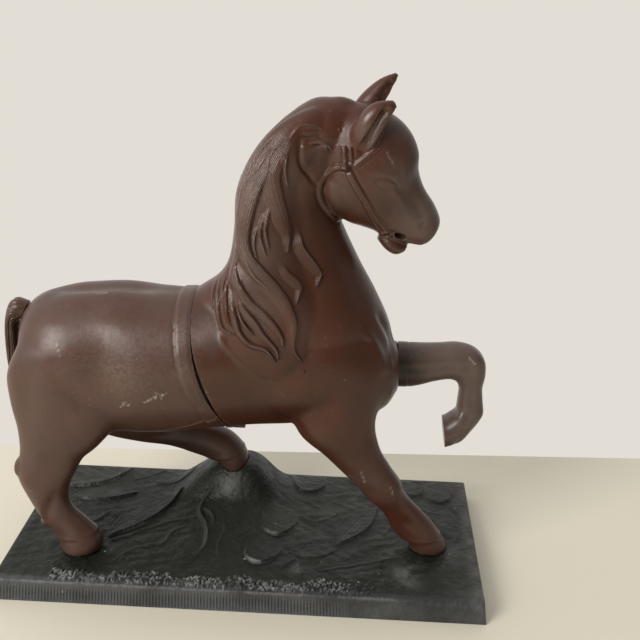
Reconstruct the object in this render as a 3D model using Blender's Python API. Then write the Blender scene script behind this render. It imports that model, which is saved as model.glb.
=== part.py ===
# Trotting horse coin bank: two-part moulded horse on a hollow base, with a coin slot and a belly door.
# Millimetres in the tables, metres in the meshes. +X is the way the horse faces, +Z is up.
import math

import bmesh
import bpy
import numpy as np

for item in list(bpy.data.objects):
    bpy.data.objects.remove(item)

MM = 0.001
SHIFT_X = 32.7  # from the horse's own zero, under the throat, to the middle of the base
WALL = 2.4  # shell thickness of the horse and the base
SPLIT_GAP = 0.3  # between the left and right shells
FIT_GAP = 0.3  # between a piece and the piece it fits into

BASE_BACK = -144.7
BASE_FRONT = 79.3
BASE_HALF_WIDTH = 51.0
BASE_DRAFT = 1.0
BASE_TOP = 10.6
SOLE_Z = 10.9

SPIGOT_LENGTH = 7.0
SPIGOT_WALL = 1.6

SLOT_WIDTH = 4.6
SLOT_LENGTH = 30.0
SLOT_DEPTH = 13.0

DOOR_BACK = -86.0
DOOR_FRONT = -38.0
DOOR_HALF_BACK = 12.5
DOOR_HALF_FRONT = 24.5
DOOR_HINGE_Z = 65.6

SCREW_R = 1.25
SCREW_HOLE_R = 1.45
SCREW_HEAD_R = 2.9
WASHER_R = 3.6

SMOOTH_ANGLE = 40.0  # degrees between faces, above which an edge stays sharp

# Each row: top x, top z, bottom x, bottom z, half width, middle y.
TORSO = [
    (-136.0, 114.0, -136.0, 98.0, 6.0, 0.0),
    (-133.6, 122.5, -133.6, 86.0, 15.0, 0.0),
    (-127.0, 129.0, -127.0, 76.0, 22.5, 0.0),
    (-116.0, 132.4, -116.0, 69.5, 27.5, 0.0),
    (-102.0, 134.4, -102.0, 65.8, 29.8, 0.0),
    (-88.0, 135.4, -88.0, 65.0, 30.2, 0.0),
    (-72.0, 134.4, -72.0, 65.8, 30.0, 0.0),
    (-58.0, 134.4, -58.0, 67.6, 29.5, 0.0),
    (-44.0, 136.4, -44.0, 69.6, 29.0, 0.0),
    (-28.0, 138.0, -28.0, 71.2, 28.0, 0.0),
    (-10.0, 138.0, -10.0, 72.6, 27.4, 0.0),
    (8.0, 135.0, 8.0, 74.6, 26.4, 0.0),
    (22.0, 128.0, 22.0, 78.0, 23.0, 0.0),
    (31.0, 118.0, 31.0, 82.0, 16.6, 0.0),
    (36.4, 108.0, 36.4, 90.0, 7.6, 0.0),
]
NECK = [
    (-66.0, 122.0, 33.0, 97.0, 23.0, 0.0),
    (-55.0, 135.4, 34.0, 108.0, 25.0, 0.0),
    (-46.0, 141.8, 31.6, 122.0, 24.4, 0.0),
    (-40.4, 150.6, 25.0, 136.0, 22.5, 0.0),
    (-38.0, 165.0, 16.8, 151.0, 19.5, 0.0),
    (-36.8, 181.0, 9.0, 167.0, 16.6, 0.0),
    (-30.0, 197.0, 3.5, 179.5, 14.4, 0.0),
    (-18.5, 210.2, 6.0, 188.0, 12.6, 0.0),
    (-5.0, 219.8, 12.0, 196.0, 11.0, 0.0),
    (6.0, 220.6, 18.0, 200.0, 8.0, 0.0),
]
HEAD = [
    (4.0, 218.5, -2.0, 192.0, 8.5, 0.0),
    (17.0, 218.3, 0.4, 181.5, 12.8, 0.0),
    (28.5, 214.0, 4.6, 173.2, 14.6, 0.0),
    (35.6, 207.6, 10.5, 168.8, 14.6, 0.0),
    (39.4, 199.6, 16.5, 167.0, 13.0, 0.0),
    (39.9, 191.6, 22.0, 165.2, 10.8, 0.0),
    (42.8, 184.0, 26.4, 162.6, 9.2, 0.0),
    (47.2, 177.6, 31.6, 160.6, 8.6, 0.0),
    (50.2, 171.0, 37.4, 160.0, 8.2, 0.0),
    (49.6, 166.6, 42.0, 159.4, 6.6, 0.0),
    (47.2, 162.8, 44.2, 160.0, 3.0, 0.0),
]
CHIN = [
    (27.0, 166.0, 23.6, 161.5, 4.0, 0.0),
    (31.0, 163.5, 27.5, 157.0, 6.2, 0.0),
    (35.0, 160.4, 31.6, 154.8, 5.8, 0.0),
    (37.2, 158.8, 35.4, 155.8, 3.2, 0.0),
]
NEAR_EAR = [
    (8.0, 203.0, 19.0, 196.0, 4.0, -8.0),
    (11.4, 209.0, 21.6, 203.0, 5.0, -11.0),
    (16.0, 214.6, 25.0, 209.0, 4.6, -12.6),
    (21.6, 218.8, 27.6, 214.4, 3.2, -12.8),
    (28.0, 220.4, 28.8, 218.8, 0.8, -12.4),
]
FAR_EAR = [
    (10.0, 213.0, 22.0, 211.0, 4.0, 8.0),
    (13.0, 218.6, 24.6, 217.6, 4.8, 9.2),
    (17.6, 223.6, 27.0, 222.0, 4.0, 9.6),
    (22.6, 227.4, 28.6, 225.6, 2.8, 9.6),
    (28.6, 230.0, 29.8, 228.8, 0.8, 9.4),
]
NEAR_FORELEG = [
    (30.0, 102.0, -16.0, 92.0, 10.5, -14.0),
    (27.0, 80.0, -8.6, 74.0, 10.6, -14.6),
    (29.0, 67.0, 2.6, 64.0, 9.6, -14.6),
    (34.0, 57.5, 11.6, 54.5, 8.2, -14.3),
    (39.2, 49.2, 19.0, 46.2, 7.2, -13.8),
    (41.6, 43.0, 24.2, 38.4, 6.8, -13.3),
    (45.3, 37.8, 31.0, 33.0, 5.9, -12.5),
    (51.2, 31.0, 34.9, 26.0, 6.0, -11.6),
    (57.0, 24.0, 38.3, 19.6, 6.9, -10.8),
    (61.2, 17.4, 43.2, 16.0, 7.8, -10.2),
    (64.0, 12.6, 45.4, 12.8, 8.5, -9.8),
    (63.9, SOLE_Z, 45.7, SOLE_Z, 8.6, -9.8),
]
RAISED_FORELEG = [
    (36.6, 107.6, 36.6, 84.0, 9.5, 14.0),
    (41.6, 106.8, 41.6, 84.9, 9.1, 14.0),
    (48.0, 106.8, 47.0, 86.0, 8.8, 14.0),
    (56.0, 107.3, 54.0, 88.2, 8.0, 14.0),
    (64.0, 108.0, 60.6, 89.5, 7.6, 14.0),
    (71.4, 106.0, 64.2, 88.6, 7.2, 14.0),
    (77.0, 99.8, 65.8, 86.2, 6.8, 14.0),
    (78.2, 92.6, 66.2, 83.4, 6.0, 14.0),
    (77.4, 85.4, 66.0, 79.4, 5.6, 14.0),
    (78.0, 79.0, 65.8, 75.6, 5.8, 14.0),
    (78.6, 71.6, 65.4, 72.8, 6.6, 14.0),
    (75.0, 64.4, 62.4, 70.4, 7.6, 14.0),
    (68.2, 56.4, 60.4, 68.8, 8.4, 14.0),
    (61.6, 53.4, 59.6, 68.6, 8.6, 14.0),
]
CHEST_BOSS = [
    (16.0, 106.0, 16.0, 86.0, 8.6, 13.4),
    (27.0, 107.6, 27.0, 84.2, 9.6, 13.8),
    (36.3, 108.0, 36.3, 83.6, 9.8, 14.0),
]
NEAR_HIND_LEG = [
    (-90.0, 110.0, -133.0, 112.0, 10.5, -16.0),
    (-86.8, 91.0, -138.0, 99.0, 11.5, -18.4),
    (-89.6, 76.5, -137.6, 85.0, 11.5, -19.6),
    (-97.5, 66.0, -135.0, 73.5, 10.4, -21.4),
    (-105.0, 60.0, -134.5, 62.5, 8.6, -22.8),
    (-108.8, 53.0, -136.0, 54.5, 7.6, -23.8),
    (-112.4, 46.0, -135.4, 46.4, 7.0, -24.2),
    (-114.2, 38.4, -131.0, 34.4, 6.1, -23.8),
    (-111.6, 31.6, -127.4, 26.6, 5.9, -23.4),
    (-107.0, 26.6, -123.6, 21.8, 6.4, -23.2),
    (-102.4, 21.4, -121.4, 17.6, 7.2, -23.0),
    (-99.9, 17.0, -120.0, 14.6, 8.4, -23.0),
    (-99.7, 13.6, -119.4, 12.6, 9.2, -23.0),
    (-100.6, SOLE_Z, -119.4, SOLE_Z, 9.4, -23.0),
]
FAR_HIND_LEG = [
    (-94.0, 110.0, -133.0, 110.0, 10.5, 16.0),
    (-89.0, 92.0, -138.0, 96.0, 11.0, 19.0),
    (-88.6, 77.0, -135.0, 79.0, 10.6, 22.0),
    (-90.4, 67.0, -129.0, 63.0, 9.6, 24.6),
    (-93.0, 59.6, -124.6, 50.6, 8.2, 26.6),
    (-89.6, 56.4, -108.6, 43.4, 7.2, 27.8),
    (-83.0, 54.6, -92.6, 39.8, 6.6, 28.6),
    (-71.0, 52.8, -77.0, 38.0, 6.4, 29.0),
    (-59.6, 51.4, -64.4, 34.0, 6.8, 29.2),
    (-48.4, 48.4, -57.4, 31.8, 7.6, 29.2),
    (-41.6, 43.0, -53.6, 30.4, 8.2, 29.2),
    (-37.4, 36.0, -51.2, 29.4, 8.6, 29.2),
    (-36.4, 28.2, -50.6, 28.0, 8.8, 29.2),
]
MANE = [
    (-4.0, 219.4, 5.0, 207.0, 4.0, -7.6),
    (-19.0, 209.6, -3.0, 196.0, 5.6, -9.6),
    (-30.0, 194.6, -6.0, 182.0, 6.0, -12.0),
    (-34.4, 177.6, -6.0, 169.0, 6.4, -14.6),
    (-35.0, 162.0, -3.0, 153.0, 6.8, -17.6),
    (-38.0, 148.0, -1.0, 138.0, 7.0, -21.0),
    (-43.0, 133.0, -4.0, 123.0, 6.0, -24.0),
    (-38.0, 118.0, -8.0, 111.0, 4.6, -25.6),
    (-29.0, 108.0, -14.0, 105.0, 2.4, -26.4),
]
TAIL = [
    (-137.4, 126.6, -137.4, 118.0, 4.4, 0.0),
    (-141.0, 124.0, -138.4, 114.0, 5.2, 0.0),
    (-143.8, 116.0, -137.4, 109.6, 6.0, 0.0),
    (-144.5, 104.0, -137.2, 101.0, 6.4, 0.0),
    (-143.8, 90.0, -136.4, 88.0, 6.4, 0.0),
    (-142.2, 76.0, -134.6, 73.6, 5.6, 0.0),
    (-139.6, 64.0, -133.6, 61.4, 4.0, 0.0),
    (-136.8, 55.6, -134.4, 54.6, 1.4, 0.0),
]
# The parting between front and rear body, as x and z down the near side.
GIRTH = [(-55.6, 236.0), (-55.6, 136.0), (-54.6, 124.0), (-52.6, 111.0), (-48.6, 97.0), (-43.2, 83.0), (-36.4, 66.0)]
HOOF_SCREWS = [
    ("near_fore", 54.4, -9.8, 4.9, 12.5),
    ("near_hind", -109.6, -23.0, 4.9, 13.5),
    ("far_hind", -44.0, 29.2, 20.0, 16.0),
]


def spline(rows, steps):
    # Catmull-Rom through the rows, with steps pieces between each two.
    rows = np.array(rows, dtype=float)
    padded = np.vstack([2 * rows[0] - rows[1], rows, 2 * rows[-1] - rows[-2]])
    out = []
    for index in range(1, len(padded) - 2):
        before, start, end, after = padded[index - 1 : index + 3]
        for step in range(steps):
            t = step / steps
            linear = (end - before) * t
            square = (2 * before - 5 * start + 4 * end - after) * t * t
            cube = (3 * start - 3 * end + after - before) * t**3
            out.append(start + 0.5 * (linear + square + cube))
    out.append(padded[-2])
    return np.array(out)


def finish_mesh(name, points, faces):
    mesh = bpy.data.meshes.new(name)
    mesh.from_pydata([tuple(point) for point in points], [], faces)
    builder = bmesh.new()
    builder.from_mesh(mesh)
    bmesh.ops.recalc_face_normals(builder, faces=builder.faces)
    bmesh.ops.triangulate(builder, faces=builder.faces)
    builder.to_mesh(mesh)
    builder.free()
    item = bpy.data.objects.new(name, mesh)
    bpy.context.collection.objects.link(item)
    return item


def loft(name, rows, steps=2, around=22):
    rings = spline(rows, steps)
    turn = np.arange(around) * 2 * math.pi / around
    points = []
    for top_x, top_z, low_x, low_z, half, middle in rings:
        x = (top_x + low_x) / 2 + (top_x - low_x) / 2 * np.cos(turn)
        z = (top_z + low_z) / 2 + (top_z - low_z) / 2 * np.cos(turn)
        y = middle + half * np.sin(turn)
        points.append(np.stack([x + SHIFT_X, y, z], axis=1))
    points = np.concatenate(points) * MM
    faces = []
    for ring in range(len(rings) - 1):
        for k in range(around):
            a = ring * around + k
            b = ring * around + (k + 1) % around
            faces.append((a, b, b + around, a + around))
    last = (len(rings) - 1) * around
    faces.append(tuple(range(around - 1, -1, -1)))
    faces.append(tuple(range(last, last + around)))
    return finish_mesh(name, points, faces)


def inset(rows, wall):
    # The same rows with the top, the bottom and both sides moved in by the wall.
    out = []
    for top_x, top_z, low_x, low_z, half, middle in rows:
        span = math.hypot(top_x - low_x, top_z - low_z)
        dx = (top_x - low_x) / span * wall
        dz = (top_z - low_z) / span * wall
        out.append((top_x - dx, top_z - dz, low_x + dx, low_z + dz, half - wall, middle))
    return out


def prism(name, outline, low, high, axis):
    # A flat outline carried straight along Y or Z.
    count = len(outline)
    points = []
    for level in (low, high):
        for first, second in outline:
            spot = (first + SHIFT_X, level, second) if axis == "Y" else (first + SHIFT_X, second, level)
            points.append(np.array(spot) * MM)
    faces = [tuple(range(count)), tuple(range(2 * count - 1, count - 1, -1))]
    for k in range(count):
        nxt = (k + 1) % count
        faces.append((k, nxt, count + nxt, count + k))
    return finish_mesh(name, points, faces)


def box(name, low, high):
    outline = [(low[0], low[1]), (high[0], low[1]), (high[0], high[1]), (low[0], high[1])]
    return prism(name, outline, low[2], high[2], "Z")


def rod(name, x, y, low, high, radius, sides=20):
    turn = [2 * math.pi * k / sides for k in range(sides)]
    outline = [(x + radius * math.cos(a), y + radius * math.sin(a)) for a in turn]
    return prism(name, outline, low, high, "Z")


def boolean(item, tool, operation, keep=False):
    change = item.modifiers.new("change", "BOOLEAN")
    change.operation = operation
    change.solver = "EXACT"
    change.object = tool
    bpy.context.view_layer.objects.active = item
    bpy.ops.object.modifier_apply(modifier=change.name)
    if not keep:
        bpy.data.objects.remove(tool)
    return item


def add(item, tool, keep=False):
    return boolean(item, tool, "UNION", keep)


def cut(item, tool, keep=False):
    return boolean(item, tool, "DIFFERENCE", keep)


def common(item, tool, keep=False):
    return boolean(item, tool, "INTERSECT", keep)


def copy(item, name):
    other = item.copy()
    other.data = item.data.copy()
    other.name = name
    bpy.context.collection.objects.link(other)
    return other


def girth_band(name, behind, ahead):
    # The slab between two copies of the girth line, moved back and forward.
    line = spline(GIRTH[1:], 2)
    line = [(GIRTH[0][0], GIRTH[0][1])] + [(x, z) for x, z in line]
    outline = [(x + behind, z) for x, z in line] + [(x + ahead, z) for x, z in reversed(line)]
    return prism(name, outline, -60.0, 60.0, "Y")


def girth_region(name, front):
    # Everything ahead of the girth line, or everything behind it. The gap opens towards the belly.
    line = [(GIRTH[0][0], GIRTH[0][1])] + [(x, z) for x, z in spline(GIRTH[1:], 2)]
    low = (-30.0, 2.0)
    if front:
        line = [(x + 0.15 + 0.9 * max(0.0, 130.0 - z) / 60.0, z) for x, z in line]
        corners = [(low[0] + 2.0, low[1]), (110.0, low[1]), (110.0, 236.0)]
    else:
        line = [(x - 0.15, z) for x, z in line]
        corners = [(low[0], low[1]), (-170.0, low[1]), (-170.0, 236.0)]
    return prism(name, line + corners, -62.0, 62.0, "Y")


def door_outline(grow):
    # Seen from above: narrow at the back, and past the girth line at the front, which trims it.
    spread = (DOOR_HALF_FRONT - DOOR_HALF_BACK) / (DOOR_FRONT - DOOR_BACK)
    front = -28.0
    half = DOOR_HALF_BACK + spread * (front - DOOR_BACK)
    back = DOOR_BACK - grow
    return [
        (back, -DOOR_HALF_BACK - grow),
        (front, -half - grow),
        (front, half + grow),
        (back, DOOR_HALF_BACK + grow),
    ]


def make_outer():
    outer = loft("outer", TORSO, 1, 28)
    lofts = [NECK, HEAD, CHIN, NEAR_EAR, FAR_EAR, NEAR_FORELEG, NEAR_HIND_LEG, FAR_HIND_LEG, CHEST_BOSS, MANE]
    for index, rows in enumerate(lofts):
        add(outer, loft("piece", rows, 1, 22 if index < 2 else 14))
    return outer


def make_chamber():
    # The coin chamber: barrel, chest and neck in one space.
    chamber = loft("chamber", inset(TORSO, WALL)[1:-2], 1, 28)
    add(chamber, loft("throat", inset(NECK, WALL + 0.4)[:-1], 1, 22))
    return chamber


def make_core(deeper):
    # What is left open inside the collar.
    core = loft("core", inset(TORSO, WALL + FIT_GAP + SPIGOT_WALL + deeper), 1, 28)
    return add(core, loft("throat", inset(NECK, WALL + FIT_GAP + SPIGOT_WALL + 0.4 + deeper), 1, 22))


def make_spigot():
    # The collar on the front body that slides into the rear body, and the step that joins it to the wall.
    spigot = common(loft("spigot", inset(TORSO, WALL + FIT_GAP), 1, 28), girth_band("band", -SPIGOT_LENGTH, 4.0))
    cut(spigot, make_core(0.0))
    root = common(loft("root", inset(TORSO, WALL - 0.6), 1, 26), girth_band("band", 1.8, 3.7))
    cut(root, make_core(0.35))
    add(spigot, root)
    cut(spigot, prism("way", door_outline(2.0), 50.3, 92.3, "Z"))
    return spigot


def make_slot_cutter():
    # A slanted slab through the crest, 30 mm long and one coin wide.
    along = np.array([14.0, 20.6]) / math.hypot(14.0, 20.6)
    out = np.array([-along[1], along[0]])
    middle = np.array([-27.2, 200.0])
    corners = []
    for lengthwise, outwards in ((-0.5, 1), (0.5, 1), (0.5, -1), (-0.5, -1)):
        spot = middle + along * SLOT_LENGTH * lengthwise + out * (6.0 if outwards > 0 else -SLOT_DEPTH)
        corners.append((spot[0], spot[1]))
    return prism("slot", corners, -SLOT_WIDTH / 2, SLOT_WIDTH / 2, "Y")


def halves(item, right_name, left_name):
    right = copy(item, right_name)
    common(right, box("side", (-170, -62, 1), (112, -SPLIT_GAP / 2, 238)))
    item.name = left_name
    common(item, box("side", (-170, SPLIT_GAP / 2, 1), (112, 62, 238)))
    return right, item


def peg(name, low_x, high_x, radius, y, z, sides=18):
    turn = [2 * math.pi * k / sides for k in range(sides)]
    points = []
    for x in (low_x, high_x):
        for a in turn:
            points.append(np.array((x + SHIFT_X, y + radius * math.cos(a), z + radius * math.sin(a))) * MM)
    faces = [tuple(range(sides)), tuple(range(2 * sides - 1, sides - 1, -1))]
    for k in range(sides):
        nxt = (k + 1) % sides
        faces.append((k, nxt, sides + nxt, sides + k))
    return finish_mesh(name, points, faces)


def make_front(outer, chamber):
    front = common(copy(outer, "front"), girth_region("region", True))
    cut(front, chamber, keep=True)
    add(front, make_spigot())
    cut(front, make_slot_cutter())
    cut(front, peg("socket", 26.6, 40.0, 4.3, 14.0, 96.0))
    for name, x, y, low, length in HOOF_SCREWS[:1]:
        cut(front, rod("hole", x, y, 5.0, low + length + 0.6, SCREW_HOLE_R))
    return halves(front, "front_body_right", "front_body_left")


def make_rear(outer, chamber):
    rear = common(copy(outer, "rear"), girth_region("region", False))
    cut(rear, chamber, keep=True)
    cut(rear, prism("way", door_outline(FIT_GAP), 50.0, 92.0, "Z"))
    cut(rear, peg("dock", -145.0, -128.4, 3.3, 0.0, 121.0))
    for name, x, y, low, length in HOOF_SCREWS[1:]:
        cut(rear, rod("hole", x, y, 5.0, low + length + 0.6, SCREW_HOLE_R))
    return halves(rear, "rear_body_right", "rear_body_left")


def make_door():
    door = common(loft("belly_door", TORSO, 1, 28), prism("shape", door_outline(0.0), 50.0, 92.0, "Z"))
    common(door, girth_region("behind", False))
    cut(door, loft("core", inset(TORSO, WALL), 1, 28))
    add(door, box("tongue", (DOOR_BACK - 5.0, -7.0, 68.7), (DOOR_BACK + 5.0, 7.0, 70.3)))
    add(door, box("root", (DOOR_BACK + 0.4, -7.0, 66.6), (DOOR_BACK + 5.0, 7.0, 70.0)))
    add(door, box("thumb_tab", (DOOR_FRONT - 4.0, -5.5, 68.0), (DOOR_FRONT + 4.4, 5.5, 70.0)))
    add(door, box("tab_root", (DOOR_FRONT - 4.6, -5.5, 68.4), (DOOR_FRONT - 2.0, 5.5, 71.4)))
    return door


def make_raised_foreleg():
    leg = loft("raised_foreleg", RAISED_FORELEG, 1, 16)
    add(leg, peg("pin", 28.0, 38.0, 4.0, 14.0, 96.0))
    return leg


def make_tail():
    tail = loft("tail", TAIL, 1, 14)
    add(tail, peg("pin", -138.6, -129.0, 3.0, 0.0, 121.0, 14))
    return tail


def ground(x, y):
    # Height of the base's top: a low swell everywhere and the mound under the far hind hoof.
    wide = np.where(x < -40.0, 26.0, 17.0)
    distance = np.hypot((x + 40.0) / wide, (y - 31.0) / 17.0)
    edge = np.clip((49.0 - np.abs(y)) / 8.0, 0.0, 1.0) * np.clip((78.0 - x) / 8.0, 0.0, 1.0)
    edge = edge * np.clip((x + 143.0) / 8.0, 0.0, 1.0)
    mound = 20.4 * np.exp(-0.9 * distance**3)
    swell = 0.35 * np.sin(x / 13.0) * np.cos(y / 9.0) * edge
    return BASE_TOP + mound * np.clip((50.0 - y) / 5.0, 0.0, 1.0) + np.minimum(swell, 0.25)


def make_base():
    across, along = 21, 41
    x = np.linspace(BASE_BACK + BASE_DRAFT, BASE_FRONT - BASE_DRAFT, along)
    y = np.linspace(-BASE_HALF_WIDTH + BASE_DRAFT, BASE_HALF_WIDTH - BASE_DRAFT, across)
    grid_x, grid_y = np.meshgrid(x, y, indexing="ij")
    top = np.stack([grid_x + SHIFT_X, grid_y, ground(grid_x, grid_y)], axis=2).reshape(-1, 3)
    faces = []
    for i in range(along - 1):
        for j in range(across - 1):
            a = i * across + j
            faces.append((a, a + across, a + across + 1, a + 1))
    rim = [i * across for i in range(along)]
    rim += [(along - 1) * across + j for j in range(1, across)]
    rim += [i * across + across - 1 for i in range(along - 2, -1, -1)]
    rim += [j for j in range(across - 2, 0, -1)]
    points = list(top)
    count = len(points)
    middle_x = (BASE_BACK + BASE_FRONT) / 2
    wide = (BASE_FRONT - BASE_BACK) / (BASE_FRONT - BASE_BACK - 2 * BASE_DRAFT)
    deep = BASE_HALF_WIDTH / (BASE_HALF_WIDTH - BASE_DRAFT)
    for spot in rim:
        px, py = points[spot][0] - SHIFT_X, points[spot][1]
        points.append(np.array((middle_x + (px - middle_x) * wide + SHIFT_X, py * deep, 0.0)))
    for k in range(len(rim)):
        nxt = (k + 1) % len(rim)
        faces.append((rim[k], rim[nxt], count + nxt, count + k))
    faces.append(tuple(count + k for k in range(len(rim))))
    base = finish_mesh("base", np.array(points) * MM, faces)
    hollow = box("hollow", (BASE_BACK + 3.4, -47.6, -1.0), (BASE_FRONT - 3.4, 47.6, BASE_TOP - WALL))
    for name, x_at, y_at, low, length in HOOF_SCREWS:
        if low < 10.0:
            cut(hollow, rod("boss", x_at, y_at, low + 0.6, 12.0, 5.2))
    cut(base, hollow)
    for name, x_at, y_at, low, length in HOOF_SCREWS:
        cut(base, rod("bore", x_at, y_at, 1.0, 40.0, SCREW_HOLE_R, 18))
        if low > 10.0:
            cut(base, rod("counterbore", x_at, y_at, 1.3, low + 0.6, WASHER_R + 0.6, 22))
    sole = loft("sole", inset(FAR_HIND_LEG[-5:], -0.4), 1, 14)
    add(sole, rod("under", -43.5, 29.2, 27.4, 28.8, 7.6))
    cut(base, sole)
    return base


def make_fixing(where, x, y, low, length):
    # Washer from low to low + 0.6, the head below it and the shank up into the hoof.
    screw = rod("hoof_screw_" + where, x, y, low - 2.1, low - 0.1, SCREW_HEAD_R)
    add(screw, rod("shank", x, y, low - 0.3, low + length, SCREW_R, 14))
    cut(screw, box("slot", (x - 3.5, y - 0.5, low - 3.0), (x + 3.5, y + 0.5, low - 1.3)))
    washer = rod("hoof_washer_" + where, x, y, low, low + 0.5, WASHER_R)
    cut(washer, rod("hole", x, y, low - 1.0, low + 2.0, 1.7, 14))
    return screw, washer


def paint(item, slot, color, roughness, metallic=0.0):
    look = bpy.data.materials.get(slot) or bpy.data.materials.new(slot)
    look.use_nodes = True
    shader = look.node_tree.nodes["Principled BSDF"]
    shader.inputs["Base Color"].default_value = (*color, 1.0)
    shader.inputs["Roughness"].default_value = roughness
    shader.inputs["Metallic"].default_value = metallic
    item.data.materials.clear()
    item.data.materials.append(look)


def clean(item):
    # Closes up the tiny edges that cutting leaves, and shades the round stretches smooth.
    builder = bmesh.new()
    builder.from_mesh(item.data)
    bmesh.ops.remove_doubles(builder, verts=builder.verts, dist=0.000002)
    bmesh.ops.dissolve_degenerate(builder, edges=builder.edges, dist=0.000002)
    bmesh.ops.triangulate(builder, faces=builder.faces)
    builder.to_mesh(item.data)
    builder.free()
    item.data.shade_smooth()
    item.data.set_sharp_from_angle(angle=math.radians(SMOOTH_ANGLE))


def put_origin(item, x, y, z):
    # Moves the origin, keeping the shape where it is.
    spot = np.array((x + SHIFT_X, y, z)) * MM
    for vertex in item.data.vertices:
        vertex.co = vertex.co - type(vertex.co)(spot)
    item.location = spot


def main():
    outer = make_outer()
    chamber = make_chamber()
    browns = list(make_front(outer, chamber)) + list(make_rear(outer, chamber))
    bpy.data.objects.remove(outer)
    bpy.data.objects.remove(chamber)
    door = make_door()
    browns += [door, make_raised_foreleg(), make_tail()]
    base = make_base()
    fixings = []
    for row in HOOF_SCREWS:
        fixings += list(make_fixing(*row))
    for item in browns + [base] + fixings:
        clean(item)
    for item in browns:
        paint(item, "brown_" + item.name, (0.095, 0.048, 0.032), 0.42)
    paint(base, "base_plastic", (0.022, 0.028, 0.024), 0.55)
    for item in fixings:
        paint(item, "steel_" + item.name, (0.55, 0.56, 0.57), 0.35, 1.0)
    put_origin(door, DOOR_BACK, 0.0, DOOR_HINGE_Z)


main()
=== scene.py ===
# Trotting horse coin bank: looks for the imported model. Tables are in millimetres from the horse's own zero.
import math

import bmesh
import bpy
import numpy as np
from mathutils import Matrix, Vector


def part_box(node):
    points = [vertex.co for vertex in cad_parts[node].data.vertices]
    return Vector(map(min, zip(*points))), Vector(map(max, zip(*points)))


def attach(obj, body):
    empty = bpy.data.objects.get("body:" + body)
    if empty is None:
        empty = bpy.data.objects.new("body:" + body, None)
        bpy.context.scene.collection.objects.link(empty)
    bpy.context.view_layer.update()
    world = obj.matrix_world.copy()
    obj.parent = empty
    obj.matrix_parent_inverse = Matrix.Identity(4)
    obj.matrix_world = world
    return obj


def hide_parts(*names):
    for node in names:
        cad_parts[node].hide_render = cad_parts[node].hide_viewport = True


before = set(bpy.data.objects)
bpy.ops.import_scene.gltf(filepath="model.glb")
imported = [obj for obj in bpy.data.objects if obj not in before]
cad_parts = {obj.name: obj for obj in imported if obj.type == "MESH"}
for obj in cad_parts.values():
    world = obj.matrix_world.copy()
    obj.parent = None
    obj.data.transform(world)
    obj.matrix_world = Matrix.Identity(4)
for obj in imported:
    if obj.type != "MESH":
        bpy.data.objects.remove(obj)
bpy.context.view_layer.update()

baseLow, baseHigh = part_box("base")
mm = 0.001
horseZero = np.array([(baseLow[0] + baseHigh[0]) / 2 / mm + 32.7, 0.0, 0.0])  # where x is 0 in the tables
baseBack = baseLow[0] / mm - horseZero[0]
baseFront = baseHigh[0] / mm - horseZero[0]
baseHalf = baseHigh[1] / mm
wall = 2.4  # shell thickness
fit = 0.3  # clearance between a piece and what it fits into

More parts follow.
